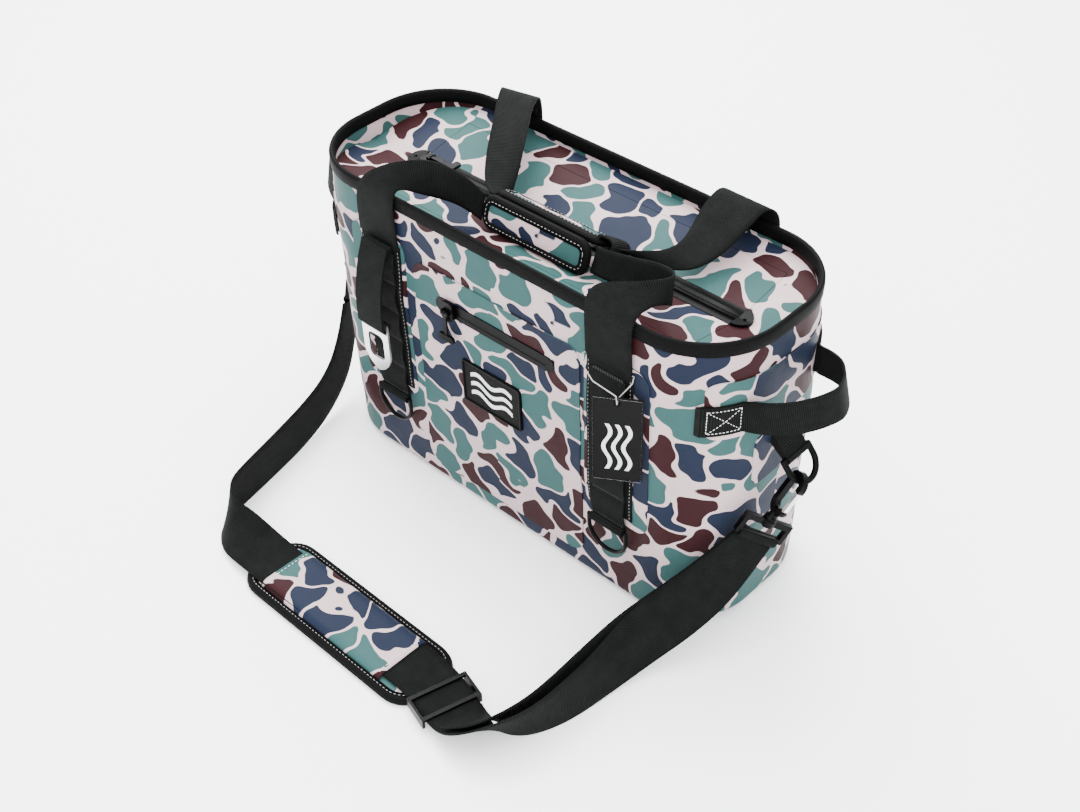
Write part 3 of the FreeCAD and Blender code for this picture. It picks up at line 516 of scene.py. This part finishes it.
def wall_at(z):
    """The wall's outline at a height: its corner radius, and half its flat length and width."""
    share = z / rim_height
    radius = 0.0686 + 0.0064 * share
    return radius, 0.2434 + 0.0066 * share - radius, 0.0891 + 0.0041 * share - radius


def rim_outline(z, out, corner_steps=20, side_steps=28):
    """Rounded outline of the wall at a height, that far out from it."""
    radius, long_core, wide_core = wall_at(z)
    line = []
    for x_sign, y_sign, turn_from in quarters:
        for count in range(corner_steps + 1):
            angle = math.radians(turn_from + 90 * count / corner_steps)
            line.append(Vector((x_sign * long_core + (radius + out) * math.cos(angle),
                                y_sign * wide_core + (radius + out) * math.sin(angle), z)))
        if turn_from in (0, 180):
            for count in range(1, side_steps):
                spot = line[-1].copy()
                spot.x = x_sign * long_core * (1 - 2 * count / side_steps)
                line.append(spot)
    return line


def loops_bridged(name, loops):
    """Skin over a row of closed loops of points, its last loop joined to its first."""
    bm = bmesh.new()
    spots = [bm.verts.new(p) for p in loops[0]]
    edges = [bm.edges.new((spots[i - 1], spots[i])) for i in range(len(spots))]
    for loop in loops[1:] + loops[:1]:
        made = bmesh.ops.extrude_edge_only(bm, edges=edges)["geom"]
        fresh = {v for v in made if isinstance(v, bmesh.types.BMVert)}
        spots = [next(e.other_vert(v) for e in v.link_edges if e.other_vert(v) in fresh)
                 for v in spots]
        for spot, point in zip(spots, loop):
            spot.co = point
        edges = [e for e in made if isinstance(e, bmesh.types.BMEdge)
                 and e.verts[0] in fresh and e.verts[1] in fresh]
    bmesh.ops.remove_doubles(bm, verts=bm.verts[:], dist=1e-6)
    bmesh.ops.recalc_face_normals(bm, faces=bm.faces[:])
    return added(name, bm)


# the tape's section: how far out from the wall, and its height
tape_section = ((0.0011, 0.3112), (0.0013, 0.3165), (0.0012, 0.3215), (0.0003, 0.3236),
                (-0.0015, 0.3241), (-0.0033, 0.3236), (-0.0042, 0.3215), (-0.0043, 0.3165),
                (-0.0041, 0.3112), (-0.0032, 0.3108), (0.0002, 0.3108))
rim_binding = loops_bridged("rim_binding_tape", [rim_outline(z, out) for out, z in tape_section])
painted(rim_binding, binding_black)
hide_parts("rim_binding")
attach(rim_binding, "bag")

# ---- main zip -----------------------------------------------------------------------
# Coated waterproof zip: matte tape with two raised rails, closed ends, a black slider
# with a hanging pull parked at the left.
zip_black, place, shade = finish("zip_black", 0.42, Specular_IOR_Level=0.05)
plug(shade, "Base Color", place.noise(120.0).mixed((0.0006, 0.0006, 0.0007, 1),
                                                   (0.0020, 0.0021, 0.0022, 1)))
teeth = (place.axis(0) * 3100.0).sine()
bumped(shade, teeth * 0.5 + place.noise(1200.0) * 0.3, 0.00025, 0.6)
hard_black, place, shade = finish("hard_black", 0.34, Specular_IOR_Level=0.05)
plug(shade, "Base Color", place.noise(90.0, 3.0).mixed((0.0006, 0.0006, 0.0007, 1),
                                                       (0.0018, 0.0018, 0.0019, 1)))
plug(shade, "Roughness", place.noise(240.0, 3.0) * 0.16 + 0.24)
bumped(shade, place.noise(1600.0), 0.00008)
cloth("zip_tape_front", "zip_front", zip_black, "front_flap", shape=None)
cloth("zip_tape_rear", "zip_rear", zip_black, "rear_flap", shape=None)
cloth("zip_docks", "zip_ends", zip_black, shape=None)
for name in ("main_slider", "main_pull", "pocket_slider", "pocket_pull"):
    painted(node[name], hard_black)

# ---- stitching ----------------------------------------------------------------------
# Polyester thread: each stitch is a short raised bead that lies on the fabric, along
# a row of points that follow the wall.
def wall_frame(x, z, out, sign):
    """A point and its outward direction on the front wall, sign -1, or the back, 1."""
    radius, long_core, wide_core = wall_at(z)
    spot = Vector((x, sign * (wide_core + radius + out), z))
    return softened(spot), Vector((0, sign, 0))


def end_frame(y, z, out, x_sign):
    """A point and its outward direction on an end wall."""
    radius, long_core, wide_core = wall_at(z)
    past = max(0.0, abs(y) - wide_core)
    angle = math.asin(min(1.0, past / (radius + out)))
    spot = Vector((x_sign * (long_core + (radius + out) * math.cos(angle)), y, z))
    away = Vector((x_sign * math.cos(angle), math.copysign(math.sin(angle), y), 0))
    return softened(spot), away


def stitched(name, rows, body, pitch=0.0042, length=0.0029, wide=0.0007, thread=thread_white):
    """Stitches along rows of (point, outward direction) pairs."""
    bm = bmesh.new()
    for row in rows:
        gone = 0.0
        due = pitch / 2
        for (a, away), (b, _) in zip(row, row[1:]):
            run = (b - a).length
            while due <= gone + run and run > 0:
                spot = a.lerp(b, (due - gone) / run)
                along = (b - a).normalized()
                side = away.cross(along).normalized()
                axes = Matrix((along * length, side * wide, away.normalized() * wide)).transposed()
                bmesh.ops.create_icosphere(bm, subdivisions=1, radius=0.5,
                                           matrix=Matrix.Translation(spot) @ axes.to_4x4())
                due += pitch
            gone += run
    piece = added(name, bm)
    painted(piece, thread)
    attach(piece, body)


# ---- carry handles ------------------------------------------------------------------
# Each handle is one 50 mm band that leaves the wall at both sides and is gathered in a
# padded wrap. The bands are relaxed and fold over the rim towards the middle.
band_thick = 0.0016
foot_y = 0.09608          # the bands' feet lie on the wall
over_y = 0.09728          # and further up they stand off it
half_band = 0.025
strip_middle = 0.1395
inner_edge = strip_middle - half_band
outer_edge = strip_middle + half_band


def edge_line(points):
    """A band's edge, through x, y and the height above the rim."""
    return route_line([Vector((x, y, z + rim_height)) for x, y, z in points], 5)


front_left = (
    [(-outer_edge, -foot_y, -0.050), (-outer_edge, -over_y, -0.018),
     (0.006 - outer_edge, -over_y, 0.005), (-0.140, -over_y + 0.008, 0.022),
     (-0.116, -over_y + 0.018, 0.033), (-0.092, -over_y + 0.029, 0.038),
     (-0.072, -over_y + 0.037, 0.033), (-0.058, -0.050, 0.020), (-0.051, -0.043, 0.007)],
    [(-inner_edge, -foot_y, -0.050), (-inner_edge, -over_y, -0.023),
     (-inner_edge, -over_y, -0.001), (-0.114, -over_y + 0.006, 0.010),
     (-0.108, -over_y + 0.018, 0.004), (-0.096, -over_y + 0.029, -0.001),
     (-0.076, -0.058, -0.004), (-0.062, -0.052, -0.011), (-0.051, -0.050, -0.016)])
front_right = (
    [(inner_edge, -foot_y, -0.050), (inner_edge, -over_y, -0.018), (inner_edge, -over_y, 0.007),
     (0.121, -over_y + 0.007, 0.020), (0.138, -over_y + 0.014, 0.025),
     (0.156, -over_y + 0.025, 0.028), (0.169, -0.055, 0.027), (0.163, -0.041, 0.024),
     (0.138, -0.036, 0.019), (0.106, -0.035, 0.009), (0.0755, -0.037, 0.006)],
    [(outer_edge, -foot_y, -0.050), (outer_edge, -over_y, -0.023),
     (outer_edge, -over_y, -0.001), (0.166, -over_y + 0.006, 0.010),
     (0.1685, -over_y + 0.014, 0.012), (0.1690, -over_y + 0.023, 0.011),
     (0.1710, -0.062, 0.006), (0.167, -0.048, -0.005), (0.138, -0.043, -0.016),
     (0.106, -0.044, -0.017), (0.0755, -0.047, -0.015)])
rear_left = (
    [(-outer_edge, foot_y, -0.050), (-outer_edge, over_y, -0.018), (-outer_edge, over_y, 0.009),
     (-0.154, over_y - 0.013, 0.025), (-0.141, over_y - 0.033, 0.023), (-0.124, 0.042, 0.018),
     (-0.104, 0.014, 0.011), (-0.084, -0.012, 0.002), (-0.066, -0.028, 0.0),
     (-0.0515, -0.033, 0.002)],
    [(-inner_edge, foot_y, -0.050), (-inner_edge, over_y, -0.018), (-inner_edge, over_y, 0.013),
     (-0.105, over_y - 0.013, 0.032), (-0.095, over_y - 0.033, 0.032), (-0.080, 0.044, 0.029),
     (-0.064, 0.020, 0.022), (-0.054, 0.002, 0.008), (-0.052, -0.006, -0.003),
     (-0.0515, -0.010, -0.007)])
rear_right = (
    [(inner_edge, foot_y, -0.050), (inner_edge, over_y, -0.018), (inner_edge, over_y, 0.010),
     (0.108, over_y - 0.011, 0.021), (0.107, over_y - 0.031, 0.013), (0.111, 0.046, 0.004),
     (0.117, 0.026, -0.001), (0.114, 0.006, -0.003), (0.100, -0.010, -0.001),
     (0.088, -0.024, 0.002), (0.0755, -0.031, 0.002)],
    [(outer_edge, foot_y, -0.050), (outer_edge, over_y, -0.018), (outer_edge, over_y, 0.010),
     (0.158, over_y - 0.011, 0.020), (0.155, over_y - 0.031, 0.009), (0.152, 0.046, -0.003),
     (0.147, 0.028, -0.010), (0.139, 0.010, -0.014), (0.122, -0.002, -0.015),
     (0.096, -0.008, -0.013), (0.0755, -0.010, -0.008)])
for name, edges, body in (("front_left", front_left, "front_handle"),
                          ("front_right", front_right, "front_handle"),
                          ("rear_left", rear_left, "rear_handle"),
                          ("rear_right", rear_right, "rear_handle")):
    webbing = band("carry_band_" + name, edge_line(edges[0]), edge_line(edges[1]), band_thick,
                   columns=8)
    painted(webbing, webbing_black)
    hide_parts("handle_webbing_" + name)
    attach(webbing, body)


# ---- padded pieces ------------------------------------------------------------------
# Foam pads in camo fabric with a black binding sewn round the edge in grey thread.
# The carry handles' wraps come first, and the rear band's end is rolled beside its wrap.
binding_width = 0.0085
stitch_inset = 0.0055
bound_edge = 0.009        # the fabric lies flat under the binding as far in as this
crown_reach = 0.016       # the pad has its full height from here in
pad_side_steps = 24


def inset_of(x, y, length, width, corner):
    """How far a point lies inside a rounded rectangle's edge."""
    qx = abs(x) - (length / 2 - corner)
    qy = abs(y) - (width / 2 - corner)
    outside = math.hypot(max(qx, 0.0), max(qy, 0.0))
    return corner - (outside + min(max(qx, qy), 0.0))


def pad_outline(length, width, corner, inset, height, steps=9):
    """Rounded rectangle, that far in from the pad's edge."""
    line = []
    radius = max(corner - inset, 0.0008)
    for x_sign, y_sign, turn_from in quarters:
        for count in range(steps + 1):
            angle = math.radians(turn_from + 90 * count / steps)
            line.append(Vector((x_sign * (length / 2 - corner) + radius * math.cos(angle),
                                y_sign * (width / 2 - corner) + radius * math.sin(angle),
                                height)))
        if turn_from in (0, 180):
            for count in range(1, pad_side_steps):
                spot = line[-1].copy()
                spot.x = x_sign * (length / 2 - corner) * (1 - 2 * count / pad_side_steps)
                line.append(spot)
    return line


def cushion(name, length, width, thick, edge, corner, placing, body, stands_for, floor_side=False):
    """Crowned pad with its binding and stitching, lying in its own frame."""
    def height(inset):
        return edge / 2 + (thick - edge) / 2 * (1 - (1 - held(inset / crown_reach)) ** 2.2)

    bm = bmesh.new()
    bmesh.ops.create_grid(bm, x_segments=int(length / 0.005), y_segments=int(width / 0.004),
                          size=0.5)
    bmesh.ops.scale(bm, vec=(length - 0.003, width - 0.003, 1), verts=bm.verts[:])
    for spot in bm.verts:
        dx = abs(spot.co.x) - (length / 2 - corner)
        dy = abs(spot.co.y) - (width / 2 - corner)
        if dx > 0 and dy > 0:
            pull_in = max(dx, dy) / math.hypot(dx, dy)
            spot.co.x = math.copysign(length / 2 - corner + dx * pull_in, spot.co.x)
            spot.co.y = math.copysign(width / 2 - corner + dy * pull_in, spot.co.y)
    under = bmesh.ops.extrude_face_region(bm, geom=bm.faces[:])
    lower = {v for v in under["geom"] if isinstance(v, bmesh.types.BMVert)}
    for spot in bm.verts:
        inset = inset_of(spot.co.x, spot.co.y, length, width, corner)
        dent = noise.noise(Vector((spot.co.x * 45, spot.co.y * 45, len(name))))
        rise = height(inset) + 0.0009 * held((inset - bound_edge) / 0.012) * dent
        if inset < bound_edge:
            rise -= 0.0008
        down = -edge / 2 if floor_side else -rise
        spot.co.z = down if spot in lower else rise
    bmesh.ops.recalc_face_normals(bm, faces=bm.faces[:])
    layer = bm.loops.layers.uv.new("UVMap")
    for face in bm.faces:
        for loop in face.loops:
            loop[layer].uv = loop.vert.co.xy
    bmesh.ops.transform(bm, matrix=placing, verts=bm.verts[:])
    pad = added(name, bm)
    painted(pad, camo_pad)
    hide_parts(stands_for)
    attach(pad, body)

    top = height(binding_width) + 0.0006
    under_top = -edge / 2 - 0.0004 if floor_side else -top
    under_edge = under_top if floor_side else -height(0.001)
    under_crown = under_top if floor_side else -height(0.004) - 0.0008
    rows = ((binding_width, top), (0.004, height(0.004) + 0.0008), (0.001, height(0.001) + 0.0004),
            (-0.0004, 0.0), (0.001, under_edge), (0.004, under_crown), (binding_width, under_top),
            (binding_width + 0.0002, 0.0))
    loops = [[placing @ p for p in pad_outline(length, width, corner, inset, z)]
             for inset, z in rows]
    binding = loops_bridged(name + "_binding", loops)
    painted(binding, binding_black)
    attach(binding, body)

    thread_height = height(stitch_inset) + 0.0010
    away = (placing.to_3x3() @ Vector((0, 0, 1))).normalized()
    rows = []
    for side in (1,) if floor_side else (1, -1):
        line = [placing @ p for p in pad_outline(length, width, corner, stitch_inset,
                                                 side * thread_height)]
        rows.append([(p, away * side) for p in line + line[:1]])
    stitched(name + "_stitches", rows, body, wide=0.00055, thread=thread_grey)


camo_pad = camo_fabric("camo_pad", (1.9, 8.4, 3.3))

# each wrap's lower and upper edge: y, and the height above the rim, in millimetres
for side, lower, upper in (("front", (-50, -19), (-42, 9)), ("rear", (-8, -10), (-33, 7))):
    across = Vector((0, upper[0] - lower[0], upper[1] - lower[1])) / 1000
    y_way = across.normalized()
    z_way = Vector((1, 0, 0)).cross(y_way)
    middle = Vector((12, lower[0], lower[1] + 323)) / 1000 + across / 2
    placing = Matrix.Translation(middle) @ Matrix(((1, 0, 0), y_way, z_way)).transposed().to_4x4()
    cushion("grip_" + side + "_wrap", 0.1245, across.length + 0.004, 0.0085, 0.004, 0.013, placing,
            side + "_handle", "grip_" + side)

# the roll, in millimetres along the rear wrap from its right end, and up from it
roll = ((-6, 5), (0, 6), (7, 6.5), (12, 3.5), (12.5, -2), (8, -6), (0, -6), (-6, -5))
roll_start = 0.0622
edges = [route_line([placing @ Vector((roll_start + x / 1000, reach, z / 1000)) for x, z in roll])
         for reach in (-0.0135, 0.0135)]
rolled = band("rear_roll", *edges, 0.0018, camber=0.0008)
painted(rolled, webbing_black)
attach(rolled, "rear_handle")

# ---- strips below the handles ---------------------------------------------------------
# A 50 mm backing strip under each handle with 38 mm lash webbing sewn over it in five
# loops, bar-tacked in near black, and a D-ring in a folded tab at its foot.
cloth("strip_backings", "strip_backing_webbing", webbing_black, uv=up_wall)
cloth("daisy_webbing", "lash_webbing", webbing_black, pitch=0.009, uv=up_wall)
cloth("strip_ring_tabs", "ring_tab_webbing", webbing_black, shape=None, uv=up_wall)
cloth("opener_tab", "opener_tab_webbing", webbing_black, shape=None, uv=up_wall)
strips = [(middle, sign) for sign in (-1.0, 1.0) for middle in (-strip_middle, strip_middle)]
rows = []
for middle, sign in strips:
    for side in (-0.0230, 0.0230):
        rows.append([wall_frame(middle + side, 0.107 + 0.004 * step, 0.0029, sign)
                     for step in range(41)])
stitched("strip_stitches", rows, "bag", wide=0.0005, thread=thread_grey)
thread_dark, place, shade = finish("thread_dark", 0.7, Specular_IOR_Level=0.1)
plug(shade, "Base Color", place.noise(900.0).mixed((0.030, 0.032, 0.032, 1),
                                                   (0.065, 0.067, 0.066, 1)))
first_tack = 0.095
tack_pitch = 0.0334
rows = []
for middle, sign in strips:
    for z in (0.2610, 0.2360, 0.2120, 0.2620):
        rows.append([wall_frame(middle + x / 1000, z, 0.0030, sign) for x in range(-16, 17, 4)])
    for side in (-0.016, 0.016):
        rows.append([wall_frame(middle + side, 0.236 + 0.0025 * step, 0.0030, sign)
                     for step in range(11)])
    for count in range(6):
        for lift in (-0.0007, 0.0007):
            z = first_tack + tack_pitch * count + lift
            rows.append([wall_frame(middle + x / 1000, z, 0.0044, sign)
                         for x in range(-17, 18, 2)])
stitched("bar_tacks", rows, "bag", pitch=0.0026, length=0.0020, wide=0.0006, thread=thread_dark)
for name in ("strip_ring_front_left", "strip_ring_front_right", "strip_ring_back_left",
             "strip_ring_back_right"):
    painted(node[name], hard_black)

# ---- front pocket and patch -----------------------------------------------------------
# Coated zip in a black frame, and a moulded rubber patch with a raised edge and a plain
# wave device.
cloth("pocket_zip_frame", "pocket_zip_edge", hard_black)
cloth("pocket_zip_teeth", "pocket_zip_rail", hard_black)
patch_black, place, shade = finish("patch_black", 0.5, Specular_IOR_Level=0.04)
plug(shade, "Base Color", place.noise(200.0).mixed((0.0006, 0.0006, 0.0006, 1),
                                                   (0.0020, 0.0020, 0.0020, 1)))
bumped(shade, place.noise(1400.0), 0.0002)
pale_rubber, place, shade = finish("pale_rubber", 0.45)
plug(shade, "Base Color", place.noise(90.0).mixed((0.55, 0.56, 0.55, 1), (0.68, 0.69, 0.68, 1)))
bumped(shade, place.noise(1400.0), 0.0001)
painted(node["rubber_patch"], patch_black)


def waves(name, placing, width, rise, gap, stroke, deep, body):
    """Three wavy bars, one above the other, in the XZ plane of a frame."""
    for row in (-1, 0, 1):
        middle = [Vector(((step / 24 - 0.5) * width, 0,
                          row * gap + rise * math.sin(step / 24 * math.tau * 1.5)))
                  for step in range(25)]
        edges = [[placing @ (p + Vector((0, 0, side * stroke / 2))) for p in middle]
                 for side in (-1, 1)]
        bar = band(name + "_" + str(row + 2), *edges, deep, columns=2)
        painted(bar, pale_rubber)
        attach(bar, body)


def raised_edge(name, placing, size, section, material, body):
    """Rim round a flat rectangle: its section is how far in it is, and how far forward."""
    loops = [[placing @ Vector((p.x, y, p.y)) for p in pad_outline(*size, inset, 0.0)]
             for inset, y in section]
    edge = loops_bridged(name, loops)
    painted(edge, material)
    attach(edge, body)


wall_lean = math.atan2(0.0041, rim_height)
patch_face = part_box("rubber_patch")[0].y + 0.00045
patch_frame = Matrix.Translation((-0.003, patch_face, 0.160)) @ Matrix.Rotation(wall_lean, 4, "X")
waves("patch_wave", patch_frame, 0.052, 0.0034, 0.0105, 0.0044, 0.0012, "bag")
raised_edge("patch_edge", patch_frame, (0.075, 0.050, 0.004),
            ((0.0006, 0.0004), (0.0006, -0.0010), (0.0026, -0.0010), (0.0026, 0.0004)),
            patch_black, "bag")

# ---- bottle opener and hang tag ---------------------------------------------------------
# Brushed steel opener in its webbing tab, and a black card tag on a thin string.
steel, place, shade = finish("brushed_steel", 0.28, metallic=1.0)
plug(shade, "Base Color", place.noise(60.0).mixed((0.55, 0.55, 0.54, 1), (0.68, 0.68, 0.67, 1)))
brushed = place.placed((0, 0, 0), (2500.0, 2500.0, 60.0)).noise(1.0, 3.0)
plug(shade, "Roughness", brushed * 0.2 + 0.20)
bumped(shade, brushed, 0.00005, 0.5)
for name in ("bottle_opener", "hook_gate_left", "hook_gate_right"):
    painted(node[name], steel)
card_black, place, shade = finish("card_black", 0.45, Specular_IOR_Level=0.05)
plug(shade, "Base Color", place.noise(300.0).mixed((0.0016, 0.0016, 0.0018, 1),
                                                   (0.0032, 0.0032, 0.0034, 1)))
bumped(shade, place.noise(800.0), 0.00005)
painted(node["hang_tag"], card_black)
tag_frame = Matrix.Translation((0.160, -0.1085, 0.250)) @ Matrix.Rotation(math.radians(31), 4, "Z")
wave_frame = (tag_frame @ Matrix.Translation((0, -0.00052, -0.048))
              @ Matrix.Rotation(math.radians(90), 4, "Y"))
waves("tag_wave", wave_frame, 0.050, 0.0030, 0.0085, 0.0036, 0.0003, "hang_tag")
border_frame = tag_frame @ Matrix.Translation((0, -0.0005, -0.0405))
raised_edge("tag_border", border_frame, (0.044, 0.092, 0.002),
            ((0.0012, 0.0), (0.0012, -0.0001), (0.0017, -0.0001), (0.0017, 0.0)),
            pale_rubber, "hang_tag")
string_pale, place, shade = finish("string_pale", 0.8)
plug(shade, "Base Color", place.noise(900.0).mixed((0.22, 0.21, 0.20, 1), (0.34, 0.33, 0.31, 1)))
painted(node["tag_string"], string_pale)

# ---- end handles ----------------------------------------------------------------------
# 30 mm webbing loop at each end, its feet box-stitched with a cross on a camo patch.
cloth("side_handle_ends", "end_handle_feet", webbing_black, uv=along_end, pitch=0.006)

# the loop seen from above, in millimetres from the middle of the bag
loop_line = [(241.5, -52.8), (245.8, -50.4), (252.0, -48.6), (262.0, -46.0), (272.0, -42.0),
             (284.0, -34.0), (295.0, -20.0), (301.6, -5.0)]
loop_line += [(x, -y) for x, y in reversed(loop_line)]
handle_z = 247.0
handle_slope = math.radians(14)
for name, sign in (("right", 1), ("left", -1)):
    edges = ([], [])
    for x, y in loop_line:
        rise = handle_z + max(0.0, x - 246.4) * math.tan(handle_slope)
        middle = Vector((sign * x, y, rise)) / 1000
        half_way = Vector((-sign * math.sin(handle_slope), 0, math.cos(handle_slope))) * 0.0149
        if x < 250:
            half_way = Vector((0, 0, 0.0149))
        edges[0].append(middle - half_way)
        edges[1].append(middle + half_way)
    loop = band("end_handle_" + name, route_line(edges[0]), route_line(edges[1]), 0.0022)
    painted(loop, webbing_black)
    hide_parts("side_handle_" + name)
    "side_handle_" + name
    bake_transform(loop)
cloth("side_ring_loops", "end_ring_webbing", webbing_black, shape=None, uv=up_end)
rows = []
for x_sign in (-1, 1):
    for y_sign in (-1, 1):
        y0, y1, z0, z1 = 0.0535 * y_sign, 0.0765 * y_sign, 0.2355, 0.2585
        corners = ((y0, z0), (y1, z0), (y1, z1), (y0, z1), (y0, z0), (y1, z1), (y1, z0), (y0, z1))
        for (ya, za), (yb, zb) in zip(corners, corners[1:]):
            rows.append([end_frame(ya + (yb - ya) * s / 8, za + (zb - za) * s / 8, 0.0043, x_sign)
                         for s in range(9)])
stitched("end_handle_stitches", rows, "bag", pitch=0.0032, length=0.0024)

# ---- strap hardware -------------------------------------------------------------------
# Moulded black D-rings, snap hooks, swivel eyes and adjuster. The strap's ends fold
# round the eyes' lower bars.
painted(node["tri_glide"], hard_black)


def moulded(source, grow, body):
    """The same piece with full, softened edges, as it comes from its mould."""
    bm = bmesh.new()
    bm.from_mesh(node[source].data)
    bmesh.ops.remove_doubles(bm, verts=bm.verts[:], dist=1e-5)
    bm.normal_update()
    for spot, move in [(spot, spot.normal * grow) for spot in bm.verts]:
        spot.co += move
    piece = added(source + "_moulded", bm)
    piece.data.set_sharp_from_angle(angle=math.radians(40))
    painted(piece, hard_black)
    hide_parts(source)
    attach(piece, body)


for side in ("left", "right"):
    moulded("side_ring_" + side, 0.0009, "side_ring_" + side)
    moulded("snap_hook_" + side, 0.0006, "snap_hook_" + side)
    moulded("swivel_eye_" + side, 0.0009, "bag")

# the right eye's lower bar: its middle, its direction, and the two ways round it
bar_middle = Vector((0.262, -0.042, 0.115))
bar_way = Vector((0.51, 0.67, -0.54))
eye_up = Vector((0.2691, 0.4613, 0.8457))
eye_out = bar_way.cross(eye_up)
for name, sign in (("right", 1), ("left", -1)):
    lines = []
    for reach in (-0.0195, 0.0195):
        line = []
        for step in range(17):
            angle = math.radians(-160 + 20 * step)
            spot = bar_middle + bar_way * reach
            spot += eye_up * (0.0002 + 0.0046 * math.cos(angle))
            spot += eye_out * 0.0042 * math.sin(angle)
            line.append(Vector((spot.x * sign, spot.y, spot.z)))
        lines.append(line)
    fold = band("strap_fold_" + name, *lines, 0.0016)
    painted(fold, webbing_black)
    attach(fold, "bag")

# ---- shoulder pad ---------------------------------------------------------------------
# Long foam pad with a camo sleeve on it, which the strap runs through.
pad_frame = Matrix.Translation((-0.013, -0.284, 0.0036)) @ Matrix.Rotation(math.radians(-1), 4, "Z")
cushion("shoulder_pad_body", 0.242, 0.074, 0.0085, 0.0066, 0.031, pad_frame, "bag", "shoulder_pad",
        floor_side=True)


def sleeve_height(share):
    """How high the sleeve stands, from its middle at 0 to its edge at 1."""
    return 0.0040 + 0.0060 * (1 - abs(share) ** 10)


sleeve_half = 0.0292
print_shift = Vector((0.31, 0.17))
bm = bmesh.new()
bmesh.ops.create_grid(bm, x_segments=34, y_segments=32, size=0.5)
for spot in bm.verts:
    x = spot.co.x * 0.166 - 0.005
    share = spot.co.y * 2
    dent = 0.0005 * noise.noise(Vector((x * 60, share * 2, 0.0)))
    spot.co = (x, share * sleeve_half, sleeve_height(share) + dent)
bmesh.ops.recalc_face_normals(bm, faces=bm.faces[:])
layer = bm.loops.layers.uv.new("UVMap")
for face in bm.faces:
    for loop in face.loops:
        loop[layer].uv = loop.vert.co.xy + print_shift
bmesh.ops.transform(bm, matrix=pad_frame, verts=bm.verts[:])
sleeve = added("shoulder_pad_sleeve", bm)
walls = sleeve.modifiers.new("thickness", "SOLIDIFY")
walls.thickness = 0.0009
painted(sleeve, camo_pad)
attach(sleeve, "bag")
rows = []
for x in (-0.084, 0.074):
    rows.append([(pad_frame @ Vector((x, step / 10 * 0.0275, 0.0008 + sleeve_height(step / 10))),
                  Vector((0, 0, 1))) for step in range(-10, 11)])
stitched("sleeve_stitches", rows, "bag")

# ---- floor, lights and camera ---------------------------------------------------------
# Plain pale floor that runs out of sight, under broad soft lights. A long-ish lens
# looks down on the bag's front right corner.
bm = bmesh.new()
bmesh.ops.create_grid(bm, x_segments=2, y_segments=2, size=6.0)
floor = added("floor", bm)
floor.location.z = -0.0003
pale, place, shade = finish("pale_floor", 0.75)
shade.inputs["Base Color"].default_value = (0.96, 0.96, 0.96, 1)
painted(floor, pale)

for name, stand, size, power, aim in (
        ("key", (-1.3, 0.9, 2.3), 2.2, 230, (0, 0, 0.1)),
        ("fill", (1.7, -1.9, 1.9), 2.4, 110, (0, 0, 0.1)),
        ("top", (0.1, -0.1, 2.6), 2.4, 120, (0, -0.1, 0))):
    glow = bpy.data.lights.new(name, "AREA")
    glow.energy = power
    glow.size = size
    lamp = bpy.data.objects.new(name, glow)
    lamp.location = stand
    lamp.rotation_euler = (Vector(aim) - Vector(stand)).to_track_quat("-Z", "Y").to_euler()
    bpy.context.scene.collection.objects.link(lamp)
sky = bpy.data.worlds.new("studio")
sky.use_nodes = True
sky.node_tree.nodes["Background"].inputs["Color"].default_value = (0.95, 0.97, 1.0, 1)
sky.node_tree.nodes["Background"].inputs["Strength"].default_value = 2.55
bpy.context.scene.world = sky
right = Vector((0.72863, 0.68447, -0.02439))
up = Vector((-0.42916, 0.48402, 0.76260))
back = Vector((0.53378, -0.54519, 0.64642))
lens = bpy.data.cameras.new("camera")
lens.sensor_width = 36.0
lens.lens = 51.57
lens.clip_start = 0.05
camera = bpy.data.objects.new("camera", lens)
camera_turn = Matrix((right, up, back)).transposed().to_4x4()
camera.matrix_world = Matrix.Translation((0.788845, -0.840994, 1.065833)) @ camera_turn
bpy.context.scene.collection.objects.link(camera)
bpy.context.scene.camera = camera
